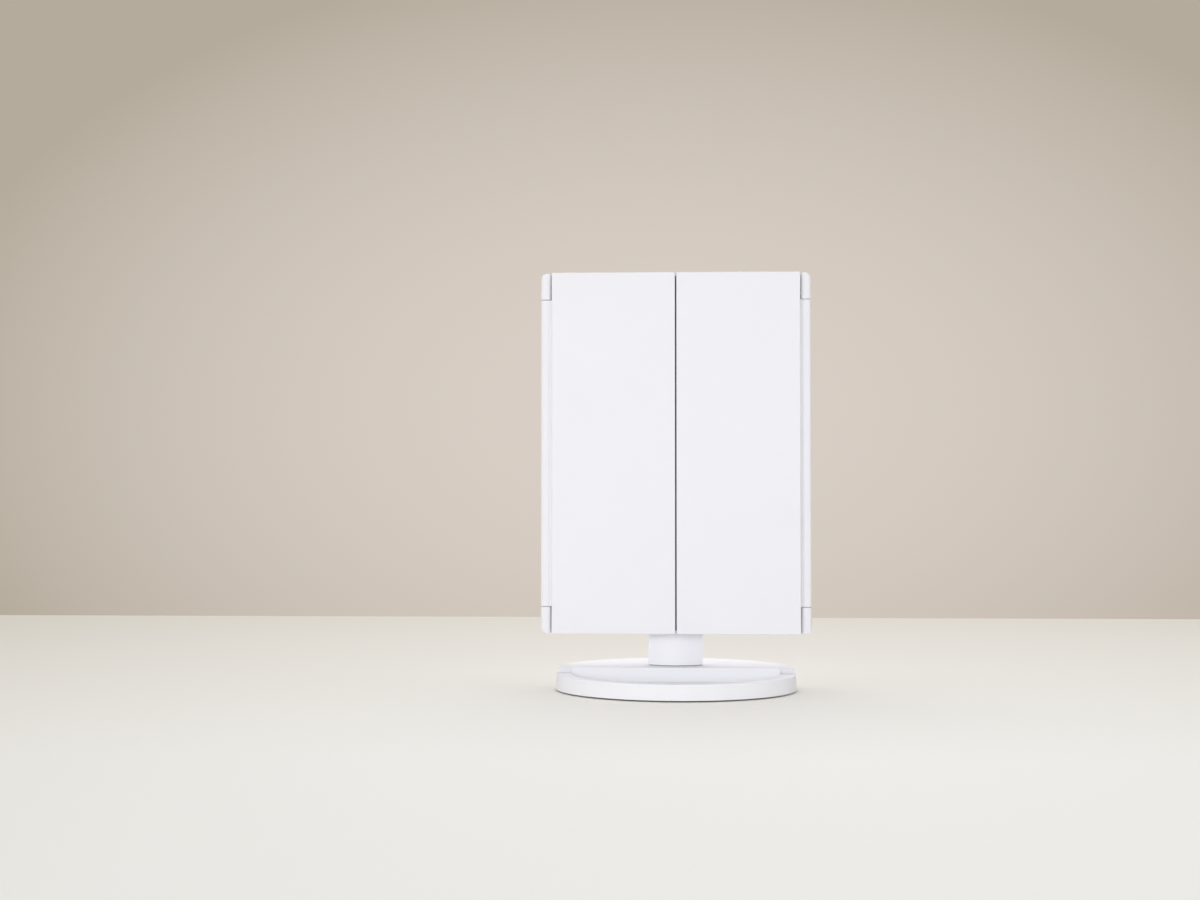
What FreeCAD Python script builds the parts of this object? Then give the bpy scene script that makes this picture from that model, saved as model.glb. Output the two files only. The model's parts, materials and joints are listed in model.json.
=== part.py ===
import FreeCAD, Part
import os
from math import sqrt

# Trifold vanity mirror with lit centre glass, two folding wings and an oval tray base.
# Millimetres.  X to the right, Y to the back, Z up; the wings close over the front, at -Y.
# Origin: the centre of the base's footprint, on the surface that the feet stand on.
# The stand carries the panel on a friction pin.  The panel carries both wings, the battery
# door and the power switch.

# ---------------------------------------------------------------- clearances
fit_gap = 0.25            # between a loose plate or cover and the pocket it sits in
running_gap = 0.05        # radial, between a turning pin and its bore
press_gap = 0.02          # radial, between a fixed pin or bush and its bore
slide_gap = 0.30          # between a sliding or lifting piece and its guide
glass_gap = 0.20          # around each mirror glass

# ---------------------------------------------------------------- base
base_half_x = 80.0        # long half axis of the oval, at the bottom of its wall
base_half_y = 57.5        # short half axis
base_draft = 1.2          # how far the wall leans in from bottom to platform
base_edge_r = 0.8         # rounding of the platform's and the rim's outer edge
base_wall = 2.4
foot_height = 1.0         # the wall's lower edge stands this far off the surface
base_height = 13.5        # from the wall's lower edge to the platform of the rear half
rim_drop = 3.5            # step down from the platform to the front rim
tray_depth = 5.8          # from the front rim down to the tray's floor
tray_ring_side = 10.7     # base outline to tray outline, at the two ends
tray_ring_front = 4.0     # the same, at the front
tray_draft = 2.4          # how far the tray's wall leans in from rim to floor
tray_floor_r = 1.5        # rounding between tray wall and floor
tray_back_lean = 1.3      # how far the tray's rear wall leans forward at the floor
step_undercut = 1.6       # depth of the finger groove under the platform's two front ends
step_lip = 0.3            # thickness left above that groove
step_wall = 1.6           # wall between that groove and the space inside
bottom_cover_t = 1.8
foot_r = 6.0
foot_t = 1.8
foot_edge_r = 0.4
foot_inset_x = 24.0       # from the oval's ends to the feet's centres
foot_inset_y = 33.5
ballast_t = 5.0
ballast_front_y = 4.0
ballast_edge_gap = 6.0    # from the ballast to the inside of the wall
base_boss_r = 3.6
rear_boss_x = 30.0
rear_boss_inset = 17.5    # from the oval's rear to the bosses under the platform
ring_boss_inset = 7.8     # from the oval's ends to the bosses in the ring
ring_boss_y = -8.0

# ---------------------------------------------------------------- screws
screw_head_r = 2.6
screw_head_h = 1.6
screw_shank_r = 1.3
screw_cross_l = 2.6       # length of each arm pair of the cross recess
screw_cross_w = 0.7
screw_cross_d = 0.9
screw_bore_gap = 0.15     # radial, around the shank in a clearance hole
screw_cross_over = 0.01   # how far the tool that cuts the cross starts above the head
base_screw_l = 7.0        # under the head
neck_screw_l = 13.0
cover_screw_l = 6.0
case_screw_l = 6.5
board_screw_l = 2.6
small_head_r = 1.9
small_head_h = 1.2
small_shank_r = 0.9

# ---------------------------------------------------------------- neck
neck_width = 36.5
neck_height = 23.0        # from the platform to the panel's lower edge
neck_front = 8.0          # bowed front to tilt axis, at the foot
neck_bow = 5.0            # how far the bowed front stands out of its side edges
neck_back = 10.0          # tilt axis to rear face, at the foot
neck_corner_r = 4.0
neck_seam_h = 0.4         # shadow line round the neck's foot: its height
neck_seam_depth = 0.5
neck_waist_drop = 1.0     # from the panel's lower edge down to the waist
neck_waist_front = 5.3    # bowed front to tilt axis, at the waist
neck_waist_bow = 4.2
neck_waist_back = 9.0
neck_head_bow = 0.3
neck_head_inset = 0.05    # the head's faces end this far inside the barrel's front and rear
neck_wall = 2.2
neck_roof_rise = 3.5      # the hollow inside ends this far above the waist
neck_cover_back = 3.5     # tilt axis to the plane between shell and rear cover
neck_cover_foot = 2.0     # platform to the cover's lower edge
neck_cover_head = 8.0     # cover's upper edge to the tilt axis
neck_boss_wall = 5.85     # side face to the screw bosses' centres
neck_boss_front = 0.4     # screw bosses' centres to the tilt axis
neck_boss_r = 4.0
neck_boss_l = 15.5
neck_boss_end = 2.0       # solid end above the screw's hole
cover_screw_rise = 14.5   # platform to the cover's screw
cover_seat_depth = 1.8    # rear face to the seat of that screw's head

# ---------------------------------------------------------------- tilt hinge
tilt_rise = 12.5          # panel's lower edge to the tilt axis
tilt_inset = 2.0          # housing's rear face to the tilt axis
tilt_barrel_r = 7.5
tilt_pin_r = 2.0
tilt_pin_chamfer = 0.3
tilt_bush_r = 3.4
tilt_bush_l = 9.0
tilt_ear_r = 6.0
tilt_ear_l = 8.0
tilt_washer_r = 5.2
tilt_cap_r = 4.0
tilt_cap_t = 1.2
notch_side_gap = 1.25     # between the head and the sides of the housing's notch
notch_front_gap = 2.0     # between the head and the notch's floor
notch_rise = 17.5         # tilt axis to the notch's top
notch_wall = 2.0

# ---------------------------------------------------------------- panel
panel_width = 180.0
panel_height = 240.0
panel_corner_r = 4.4      # corners of the front view
case_front_y = 1.0        # front of the front frame
frame_t = 4.0             # front frame, from its front to the rear housing
case_wall = 2.0
case_rear_r = 4.0         # rounding round the back
ledge_t = 1.2             # ledges that close the housing behind the wings' barrels
ledge_lap = 2.0           # how far a ledge laps the front frame
frame_rim = 2.2           # width of the white rim round the centre glass
glass_set_back = 0.2      # from the frame's front to the glass
glass_t = 2.0
glass_corner_r = 1.5
pad_t = 0.2               # adhesive under a flat glass
pad_low_margin = 25.0     # glass's lower edge to the lower adhesive sheet
pad_split = 10.0          # between the lower and the upper adhesive sheet
pad_slot_gap = 6.0        # light slot to the adhesive sheets
case_post_r = 4.0
case_boss_l = 4.0         # the front frame's screw bosses
case_boss_r = 3.2
case_post_floor = 3.0     # post wall under the screw's head
case_screw_side = 5.0     # light board's edge to the screws' centres
case_screw_low = 14.5     # panel's lower edge to the lowest screws
case_screw_high = 27.5    # highest screws to the panel's upper edge

# ---------------------------------------------------------------- lights
window_size = 6.5
window_corner_r = 1.4
window_margin = 10.0      # from the glass edge to the windows' centre line
window_top_count = 5      # between the two corner windows
window_side_count = 8     # down each side, the corner window included
window_gap = 0.1
light_slot_w = 8.0        # slot in the frame's floor behind the windows
light_slot_end = 4.0      # slot beyond the last window's centre
diffuser_t = 1.5
led_rail_h = 1.6          # rails that the light boards rest on
led_board_t = 1.0
led_board_edge = 1.2      # how far a board rests past its slot on each side
led_size = 3.0
led_t = 0.9

# ---------------------------------------------------------------- touch switch
touch_rise = 13.5         # panel's lower edge to the touch mark
touch_ring_r = 5.0
touch_ring_w = 0.8
touch_pad_r = 6.0
touch_pad_set_back = 0.2  # from the glass seat to the pad
touch_pad_t = 1.2
touch_lead_half = 2.0
touch_lead_gap = 0.08     # between the front frame's back and the lead
touch_lead_t = 0.2
touch_plug_rise = 2.0     # main board's lower edge to the lead's plug
touch_plug_h = 2.0

# ---------------------------------------------------------------- electronics
board_half_x = 30.0
board_rise = 16.1         # battery bay to main board
board_height = 32.0
board_post_l = 1.6
board_t = 1.6
board_post_r = 2.6
board_post_inset = 4.5
driver_half_x = 6.0       # light driver chip
driver_half_z = 4.0
driver_t = 1.8
touch_chip_x = 15.5       # centre line of the board to the touch chip
touch_chip_half = 2.5
touch_chip_t = 1.4
coil_x = 14.0
coil_r = 4.0
coil_h = 3.6
capacitor_x = 14.0
capacitor_r = 2.5
capacitor_h = 6.0
capacitor_drop = 6.0      # board's upper edge to the capacitor
plug_half = 3.5
plug_t = 4.0
plug_pitch = 14.0
plug_edge = 1.0           # board's edge to the plugs
light_plug_half = 4.0
resistor_half = 0.8
resistor_h = 0.9
resistor_t = 0.5
resistor_rise = 6.0       # board's middle to the resistors
resistor_pitch = 4.0
resistor_count = 4
side_board_inset = 15.0   # case screws to the middle of the socket's and the switch's boards
side_board_half = 8.0
side_post_r = 1.8
side_post_inset = 2.0     # side board's edge to the posts' centres
side_post_rise = 2.5      # side board's lower edge to the posts' centres
side_board_rise = 6.5     # panel's lower edge to the boards
side_board_height = 22.0
side_board_depth = 8.6    # housing's rear face to the boards' front
side_board_t = 1.6
socket_half_x = 4.0
socket_half_z = 1.7
socket_wall = 0.4
socket_back_t = 0.8       # closed end of the socket's shell
socket_set_back = 0.4     # housing's rear face to the shell's rim
socket_rise = 17.5        # panel's lower edge to the socket and the switch
socket_tongue_half = 2.6
socket_tongue_half_t = 0.3
socket_tongue_set_back = 1.6
switch_body_half_x = 4.0
switch_body_half_z = 6.5
switch_body_depth = 4.5
switch_floor_t = 2.0      # floor of the switch under the sliding knob
knob_half_x = 1.6
knob_half_z = 2.2
knob_travel = 3.0
knob_proud = 1.0          # how far the knob stands out of the housing
knob_ribs = 3
knob_rib_d = 0.3

# ---------------------------------------------------------------- battery bay
cell_r = 5.25
cell_l = 44.5
cell_nub_r = 1.9
cell_nub_l = 1.0
cell_edge_r = 0.5
cell_pitch = 11.4
cell_count = 4
cell_side_gap = 0.8
cell_front_gap = 0.25
bay_wall = 1.2
bay_floor_t = 0.8
bay_rise = 12.5           # notch's top to the bay
contact_t = 0.5
contact_half = 4.4
spring_half = 3.0         # half the reach of each leaf spring
spring_half_w = 2.5
spring_t = 0.4
spring_bend = 0.75        # width of the sloping leaf, measured level
spring_l = 4.4            # loaded length
door_t = 1.8
door_seat_gap = 0.05      # between the door and its seat
door_lap = 3.0            # how far the door laps over the bay's edge
door_corner_r = 3.0
door_flange = 1.6         # flange beyond the door's recess
door_grip_r = 5.0
door_rib_d = 0.35
door_rib_half = 8.0
door_rib_half_w = 0.5
door_rib_pitch = 2.4
door_rib_drop = 10.0      # door's upper edge to the first rib
door_ribs = 4
door_hook_l = 2.0
door_hook_half = 3.0
door_hook_root = 1.0      # how far a hook reaches into the door

# ---------------------------------------------------------------- wings
hinge_half = 3.3          # half the side of the hinge barrel's rounded square
hinge_corner_r = 2.0
knuckle_height = 17.5
knuckle_gap = 0.35        # above and below the wing's barrel
hinge_side_gap = 1.0      # between the wing's edge and a knuckle
hinge_pin_r = 1.2
hinge_pin_in_wing = 9.0
hinge_pin_in_knuckle = 14.0
hinge_bush_r = 2.2
fold_gap = 0.8            # between a closed wing and the centre frame
wing_frame_t = 4.0
wing_cover_t = 4.0
wing_gap = 0.9            # between the covers of the two closed wings
wing_frame_gap = 0.36     # between their frames, which hide the centre glass behind the gap
wing_wall = 1.6
wing_rim = 2.6            # rim round the wing's glass
wing_bar = 3.0            # bar between the two glasses of the left wing
wing_corner_r = 1.0
wing_edge_r = 0.6
wing_web_t = 2.4          # web between wing and barrel
wing_glass_set_back = 0.3
wing_pad_t = 0.3
wing_pad_margin = 8.0     # glass opening to the adhesive sheets
wing_pad_split = 10.0     # between the two adhesive sheets
curved_glass_t = 1.5
upper_glass_r = 900.0     # radius of the stronger magnifying glass
lower_glass_r = 1200.0    # radius of the weaker magnifying glass
curved_pad_half_x = 18.0
curved_pad_half_z = 30.0
curved_pad_gap = 0.02     # between the foam and the glass

# ---------------------------------------------------------------- wires
wire_r = 0.55
wire_bend_r = 2.0
wire_pair_half = 2.5      # half the spacing of a pair of wires at the side boards
wire_lap = 4.0            # how far the wires lap the side boards
wire_in = 15.0            # centre line to the outer wire of a pair at the main board
wire_pitch = 2.0          # between the wires of a pair at the main board
wire_run_drop = 5.0       # main board's lower edge to the level runs
wire_run_pitch = 3.0
wire_end_lap = 1.0        # how far the wires reach up behind the main board's lower edge

# ---------------------------------------------------------------- worked-out sizes
platform_z = foot_height + base_height
rim_z = platform_z - rim_drop
tray_floor_z = rim_z - tray_depth
tray_half_x = base_half_x - tray_ring_side
tray_half_y = base_half_y - tray_ring_front
panel_bottom_z = platform_z + neck_height
case_split_y = case_front_y + frame_t
bay_front_y = case_split_y + bay_wall
case_rear_y = bay_front_y + 2 * (cell_front_gap + cell_r) + door_t
glass_y = case_front_y + glass_set_back
glass_seat_y = glass_y + glass_t + pad_t
wing_back_y = case_front_y - fold_gap
wing_split_y = wing_back_y - wing_frame_t
wing_front_y = wing_split_y - wing_cover_t
hinge_y = (case_front_y + wing_back_y) / 2      # so that an open wing lies flush
wing_web_y = wing_back_y - wing_web_t
wing_glass_face_y = wing_back_y - wing_glass_set_back
wing_seat_y = wing_glass_face_y - glass_t - wing_pad_t
tilt_y = case_rear_y - tilt_inset
tilt_z = panel_bottom_z + tilt_rise
notch_half = neck_width / 2 + notch_side_gap
notch_floor_y = tilt_y - tilt_barrel_r - notch_front_gap
notch_top_z = tilt_z + notch_rise
neck_waist_z = panel_bottom_z - neck_waist_drop
neck_cover_y = tilt_y + neck_cover_back
neck_seat_y = tilt_y + neck_back - cover_seat_depth
cover_screw_z = platform_z + cover_screw_rise
panel_half = panel_width / 2
panel_top_z = panel_bottom_z + panel_height
hinge_x = panel_half - hinge_half
wing_edge_x = hinge_x - hinge_half - hinge_side_gap
wing_inner_x = wing_gap / 2
wing_frame_inner_x = wing_frame_gap / 2
barrel_z0 = panel_bottom_z + knuckle_height + knuckle_gap
barrel_z1 = panel_top_z - knuckle_height - knuckle_gap
glass_half_x = wing_edge_x - frame_rim
glass_z0 = panel_bottom_z + frame_rim
glass_z1 = panel_top_z - frame_rim
window_x = glass_half_x - window_margin
window_z = glass_z1 - window_margin
window_pitch = 2 * window_x / (window_top_count + 1)
window_low_z = window_z - window_pitch * (window_side_count - 1)
cover_top_z = foot_height + bottom_cover_t
cavity_top_z = platform_z - base_wall
bay_half_x = cell_pitch * cell_count / 2 + cell_side_gap
bay_z0 = notch_top_z + bay_rise
bay_z1 = bay_z0 + cell_l + spring_l + 2 * contact_t
cell_y = bay_front_y + cell_front_gap + cell_r
door_y = case_rear_y - door_t
door_seat_y = door_y - door_seat_gap
door_half_x = bay_half_x + door_lap
door_z0 = bay_z0 - door_lap
door_z1 = bay_z1 + door_lap
case_inner_y = case_rear_y - case_wall
case_post_y = case_split_y + case_boss_l
case_screw_head_y = case_post_y + case_post_floor
led_board_y = case_split_y + led_rail_h
led_board_half = light_slot_w / 2 + led_board_edge
case_screw_x = window_x - led_board_half - case_screw_side
side_board_x = case_screw_x - side_board_inset
touch_z = panel_bottom_z + touch_rise
touch_pad_y = glass_seat_y + touch_pad_set_back
touch_lead_y = case_split_y + touch_lead_gap
board_front_y = case_split_y + board_post_l
board_z0 = bay_z1 + board_rise
board_z1 = board_z0 + board_height
side_board_z0 = panel_bottom_z + side_board_rise
side_board_z1 = side_board_z0 + side_board_height
side_board_y = case_rear_y - side_board_depth
socket_z = panel_bottom_z + socket_rise
far = 400.0               # larger than the whole product, for half-space cuts
over = 1.0                # how far a cutting shape runs past the face it opens


def V(x, y, z):
    return FreeCAD.Vector(x, y, z)


# ---------------------------------------------------------------- shape helpers
def box(x0, x1, y0, y1, z0, z1):
    return Part.makeBox(x1 - x0, y1 - y0, z1 - z0, V(x0, y0, z0))


def rod_x(radius, x0, x1, y, z):
    return Part.makeCylinder(radius, x1 - x0, V(x0, y, z), V(1, 0, 0))


def rod_y(radius, y0, y1, x, z):
    return Part.makeCylinder(radius, y1 - y0, V(x, y0, z), V(0, 1, 0))


def rod_z(radius, z0, z1, x, y):
    return Part.makeCylinder(radius, z1 - z0, V(x, y, z0), V(0, 0, 1))


def fuse(shapes):
    whole = shapes[0]
    for shape in shapes[1:]:
        whole = whole.fuse(shape)
    return whole.removeSplitter()


def cut(shape, tools):
    for tool in tools:
        shape = shape.cut(tool)
    return shape


def mirror_x(shape):
    """The same shape on the other side of the plane x = 0."""
    return shape.mirror(V(0, 0, 0), V(1, 0, 0))


def rounded_plate_y(x0, x1, z0, z1, y0, y1, radius):
    """A plate of constant section along Y, with its four corners rounded in the front view."""
    plate = box(x0, x1, y0, y1, z0, z1)
    corners = [e for e in plate.Edges if abs(e.BoundBox.YLength - (y1 - y0)) < 1e-6
               and e.BoundBox.XLength < 1e-6 and e.BoundBox.ZLength < 1e-6]
    return plate.makeFillet(radius, corners)


def rounded_bar_z(x, y, half, radius, z0, z1):
    """A square bar along Z with rounded corners, centred on (x, y)."""
    bar = box(x - half, x + half, y - half, y + half, z0, z1)
    corners = [e for e in bar.Edges if e.BoundBox.ZLength > 1e-6]
    return bar.makeFillet(radius, corners)


def fillet_at_y(shape, y, radius):
    """Round every edge that lies wholly in the plane of this y."""
    edges = [e for e in shape.Edges if abs(e.BoundBox.YMin - y) < 1e-4
             and abs(e.BoundBox.YMax - y) < 1e-4]
    return shape.makeFillet(radius, edges)


def oval(shape, ratio):
    """Squeeze a turned shape along Y, which makes its circles ovals."""
    squeeze = FreeCAD.Matrix()
    squeeze.scale(1.0, ratio, 1.0)
    return shape.transformGeometry(squeeze)


def rounded_disc(r_low, r_high, z0, z1, edge_r):
    """A drafted disc with its upper edge rounded."""
    disc = Part.makeCone(r_low, r_high, z1 - z0, V(0, 0, z0), V(0, 0, 1))
    top = [e for e in disc.Edges if abs(e.BoundBox.ZMin - z1) < 1e-6]
    return disc.makeFillet(edge_r, top)


def front_of(y_at_top, y_at_low, z_top, z_low):
    """Everything in front of a slanted plane through two lines parallel to X."""
    slope = (y_at_top - y_at_low) / (z_top - z_low)
    y_far_up = y_at_top + slope * far
    y_far_down = y_at_low - slope * far
    outline = [V(-far, -far, z_low - far), V(-far, y_far_down, z_low - far),
               V(-far, y_far_up, z_top + far), V(-far, -far, z_top + far)]
    wire = Part.makePolygon(outline + outline[:1])
    return Part.Face(wire).extrude(V(2 * far, 0, 0))


def screw(x, y, z, direction, length, head_r, head_h, shank_r):
    """A screw whose head seats at (x, y, z), with its shank running along direction."""
    head = Part.makeCylinder(head_r, head_h, V(0, 0, -head_h), V(0, 0, 1))
    shank = Part.makeCylinder(shank_r, length, V(0, 0, 0), V(0, 0, 1))
    low = -head_h - screw_cross_over
    arm = screw_cross_l * head_r / screw_head_r / 2
    width = screw_cross_w / 2
    cross = box(-arm, arm, -width, width, low, low + screw_cross_d)
    cross = cross.fuse(box(-width, width, -arm, arm, low, low + screw_cross_d))
    body = head.fuse(shank).cut(cross)
    turn = FreeCAD.Rotation(V(0, 0, 1), direction)
    body.Placement = FreeCAD.Placement(V(x, y, z), turn)
    return body


def big_screw(x, y, z, direction, length):
    return screw(x, y, z, direction, length, screw_head_r, screw_head_h, screw_shank_r)


def small_screw(x, y, z, direction, length):
    return screw(x, y, z, direction, length, small_head_r, small_head_h, small_shank_r)


# ---------------------------------------------------------------- base
def base_radius(z):
    """Radius along X of the drafted outer wall at a height."""
    return base_half_x - base_draft * (z - foot_height) / (platform_z - foot_height)


def base_block(top_z):
    disc = rounded_disc(base_radius(foot_height), base_radius(top_z), foot_height, top_z,
                        base_edge_r)
    return oval(disc, base_half_y / base_half_x)


def tray_hollow():
    """The sunken tray: an oval bowl, of which the front half is used."""
    bowl = Part.makeCone(tray_half_x - tray_draft, tray_half_x, rim_z - tray_floor_z,
                         V(0, 0, tray_floor_z), V(0, 0, 1))
    floor_edge = [e for e in bowl.Edges if abs(e.BoundBox.ZMax - tray_floor_z) < 1e-6]
    bowl = bowl.makeFillet(tray_floor_r, floor_edge)
    above = Part.makeCylinder(tray_half_x, platform_z, V(0, 0, rim_z), V(0, 0, 1))
    return oval(bowl.fuse(above), tray_half_y / tray_half_x)


def tray_front():
    """Space in front of the tray's leaning rear wall."""
    return front_of(0.0, -tray_back_lean, platform_z, tray_floor_z)


def base_hollow(z0, z1, wall):
    """An oval plug of straight height that leaves the given wall at the drafted rim."""
    half_x = base_half_x - base_draft - wall
    half_y = base_half_y - base_draft - wall
    return oval(rod_z(half_x, z0, z1, 0, 0), half_y / half_x)


def base_boss_places():
    """Centres of the four screw bosses: two under the platform, two in the ring."""
    rear = (rear_boss_x, base_half_y - rear_boss_inset)
    ring = (base_half_x - ring_boss_inset, ring_boss_y)
    return [(side * x, y) for side in (-1, 1) for x, y in (rear, ring)]


def base_seat_z():
    """Seat of the base screws' heads, half way up the bottom cover."""
    return foot_height + bottom_cover_t / 2


def neck_screw_places():
    x = neck_width / 2 - neck_boss_wall
    return [(side * x, tilt_y - neck_boss_front) for side in (-1, 1)]


def step_grooves():
    """Grooves under the platform's front edge, left and right of the tray."""
    top = platform_z - step_lip
    outline = [V(0, -over, top), V(0, 0, top), V(0, step_undercut, rim_z), V(0, -over, rim_z)]
    section = Part.Face(Part.makePolygon(outline + outline[:1]))
    groove = section.extrude(V(base_half_x, 0, 0))
    groove.translate(V(tray_half_x, 0, 0))
    return [groove, mirror_x(groove)]


def base_tray():
    front = tray_front()
    rear_half = base_block(platform_z).cut(front)
    front_half = base_block(rim_z).common(front).cut(tray_hollow())
    tray = fuse([rear_half, front_half])
    tray = cut(tray, step_grooves())
    tray = tray.cut(base_hollow(foot_height - over, cover_top_z, base_wall))
    rear_space = base_hollow(cover_top_z - over / 2, cavity_top_z, base_wall)
    behind_tray = box(-far, far, step_undercut + step_wall, far, 0, far)
    rear_space = rear_space.common(behind_tray)
    for x, y in base_boss_places():
        rear_space = rear_space.cut(rod_z(base_boss_r, 0, platform_z, x, y))
    tray = tray.cut(rear_space)
    for x, y in base_boss_places():
        tray = tray.cut(rod_z(screw_shank_r + press_gap, 0, base_seat_z() + base_screw_l, x, y))
    for x, y in neck_screw_places():
        tray = tray.cut(rod_z(screw_shank_r + screw_bore_gap, 0, far, x, y))
    return tray


def base_bottom_cover():
    cover = base_hollow(foot_height, cover_top_z, base_wall + fit_gap)
    for x, y in base_boss_places():
        cover = cover.cut(rod_z(screw_shank_r + screw_bore_gap, 0, far, x, y))
        cover = cover.cut(rod_z(screw_head_r + fit_gap, 0, base_seat_z(), x, y))
    for x, y in foot_places():
        cover = cover.cut(rod_z(foot_r + fit_gap, 0, foot_t, x, y))
    return cover


def foot_places():
    x = base_half_x - foot_inset_x
    y = base_half_y - foot_inset_y
    return [(sx * x, sy * y) for sx in (-1, 1) for sy in (-1, 1)]


def base_feet():
    """Four rubber feet, each let into the bottom cover."""
    feet = []
    for x, y in foot_places():
        foot = rod_z(foot_r, 0, foot_t, x, y)
        rim = [e for e in foot.Edges if e.BoundBox.ZMax < 1e-6]
        feet.append(foot.makeFillet(foot_edge_r, rim))
    return feet


def base_ballast():
    """Steel plate under the platform, which keeps the mirror from tipping backwards."""
    plate = base_hollow(cover_top_z, cover_top_z + ballast_t, base_wall + ballast_edge_gap)
    plate = plate.common(box(-far, far, ballast_front_y, far, 0, far))
    for x, y in base_boss_places():
        plate = plate.cut(rod_z(base_boss_r + fit_gap, 0, far, x, y))
    return plate


def base_screws():
    return [big_screw(x, y, base_seat_z(), V(0, 0, 1), base_screw_l)
            for x, y in base_boss_places()]


# ---------------------------------------------------------------- neck
def neck_outline(z, front_y, bow, half, back_y, corner_r):
    """Plan of the neck: bowed front, straight sides, two rounded rear corners."""
    side_y = front_y + bow
    diagonal = corner_r * (1 - 1 / sqrt(2))
    front = Part.Arc(V(-half, side_y, z), V(0, front_y, z), V(half, side_y, z)).toShape()
    right = Part.makeLine(V(half, side_y, z), V(half, back_y - corner_r, z))
    right_corner = Part.Arc(V(half, back_y - corner_r, z),
                            V(half - diagonal, back_y - diagonal, z),
                            V(half - corner_r, back_y, z)).toShape()
    back = Part.makeLine(V(half - corner_r, back_y, z), V(corner_r - half, back_y, z))
    left_corner = Part.Arc(V(corner_r - half, back_y, z),
                           V(diagonal - half, back_y - diagonal, z),
                           V(-half, back_y - corner_r, z)).toShape()
    left = Part.makeLine(V(-half, back_y - corner_r, z), V(-half, side_y, z))
    return Part.Wire([front, right, right_corner, back, left_corner, left])


def neck_column(inset, z_low, z_high):
    """The hollow-walled column under the head, shrunk by inset on every side."""
    half = neck_width / 2 - inset
    corner = neck_corner_r - inset / 2
    foot = neck_outline(z_low, tilt_y - neck_front + inset, neck_bow, half,
                        tilt_y + neck_back - inset, corner)
    waist = neck_outline(z_high, tilt_y - neck_waist_front + inset, neck_waist_bow, half,
                         tilt_y + neck_waist_back - inset, corner)
    return Part.makeLoft([foot, waist], True, True)


def neck_head():
    """From the waist to the barrel, where the bow flattens out."""
    half = neck_width / 2
    waist = neck_outline(neck_waist_z, tilt_y - neck_waist_front, neck_waist_bow, half,
                         tilt_y + neck_waist_back, neck_corner_r)
    reach = tilt_barrel_r - neck_head_inset
    top = neck_outline(tilt_z, tilt_y - reach, neck_head_bow, half, tilt_y + reach,
                       neck_corner_r)
    barrel = rod_x(tilt_barrel_r, -half, half, tilt_y, tilt_z)
    return Part.makeLoft([waist, top], True, True).fuse(barrel)


def neck_solid():
    return neck_column(0, platform_z, neck_waist_z).fuse(neck_head())


def neck_hollow():
    hollow = neck_column(neck_wall, platform_z - over, neck_waist_z)
    half = neck_width / 2 - neck_wall
    upper = box(-half, half, tilt_y - neck_waist_front + neck_waist_bow + neck_wall,
                tilt_y + neck_waist_back - neck_wall, neck_waist_z - over,
                neck_waist_z + neck_roof_rise)
    return hollow.fuse(upper)


def neck_cover_space(gap):
    """The block at the rear of the neck that its cover fills."""
    half = neck_width / 2 + over
    return box(-half, half, neck_cover_y + gap, tilt_y + neck_back + over,
               platform_z + neck_cover_foot + gap, tilt_z - neck_cover_head - gap)


def neck_cover_boss(y0, y1, radius):
    return rod_y(radius, y0, y1, 0, cover_screw_z)


def neck_foot_seam():
    """A shallow recess round the foot, which draws a line between neck and platform."""
    slab = box(-neck_width, neck_width, -far, far, platform_z - over, platform_z + neck_seam_h)
    return slab.cut(neck_column(neck_seam_depth, platform_z - over, neck_waist_z))


def neck_shell():
    shell = neck_solid().cut(neck_hollow())
    shell = shell.cut(neck_cover_space(0)).cut(neck_foot_seam())
    bosses = [rod_z(neck_boss_r, platform_z, platform_z + neck_boss_l, x, y)
              for x, y in neck_screw_places()]
    inside = neck_solid()
    bosses = [boss.common(inside).cut(neck_cover_space(0)) for boss in bosses]
    post = neck_cover_boss(tilt_y - neck_front + neck_wall, neck_cover_y, neck_boss_r)
    shell = fuse([shell] + bosses + [post.common(inside)])
    pilot_z1 = platform_z + neck_boss_l - neck_boss_end
    for x, y in neck_screw_places():
        shell = shell.cut(rod_z(screw_shank_r + press_gap, 0, pilot_z1, x, y))
    pilot_y0 = neck_seat_y - cover_screw_l - press_gap
    shell = shell.cut(neck_cover_boss(pilot_y0, far, small_shank_r + press_gap))
    bore = rod_x(tilt_pin_r + running_gap, -far, far, tilt_y, tilt_z)
    shell = shell.cut(bore)
    for side in (-1, 1):
        end = neck_width / 2
        x0 = min(side * end, side * (end - tilt_bush_l))
        shell = shell.cut(rod_x(tilt_bush_r + press_gap, x0, x0 + tilt_bush_l, tilt_y, tilt_z))
    return shell


def neck_back_cover():
    cover = neck_solid().common(neck_cover_space(fit_gap / 2)).cut(neck_hollow())
    pad = neck_cover_boss(neck_cover_y + fit_gap / 2, tilt_y + neck_waist_back, neck_boss_r)
    cover = fuse([cover, pad])
    cover = cover.cut(neck_cover_boss(0, far, small_shank_r + screw_bore_gap))
    return cover.cut(neck_cover_boss(neck_seat_y, far, small_head_r + fit_gap))


def neck_screws():
    return [big_screw(x, y, cavity_top_z, V(0, 0, 1), neck_screw_l)
            for x, y in neck_screw_places()]


def neck_cover_screw():
    return [small_screw(0, neck_seat_y, cover_screw_z, V(0, -1, 0), cover_screw_l)]


# ---------------------------------------------------------------- tilt hinge
def tilt_bushes():
    """Two plastic friction bushes pressed into the ends of the neck's barrel."""
    end = neck_width / 2
    bush = rod_x(tilt_bush_r, end - tilt_bush_l, end, tilt_y, tilt_z)
    bush = bush.cut(rod_x(tilt_pin_r + running_gap, 0, far, tilt_y, tilt_z))
    return [bush, mirror_x(bush)]


def tilt_ear_end():
    return notch_half + tilt_ear_l


def tilt_pin():
    end = tilt_ear_end() - tilt_cap_t
    pin = rod_x(tilt_pin_r, -end, end, tilt_y, tilt_z)
    rims = [e for e in pin.Edges if e.BoundBox.XLength < 1e-6]
    return pin.makeChamfer(tilt_pin_chamfer, rims)


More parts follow.
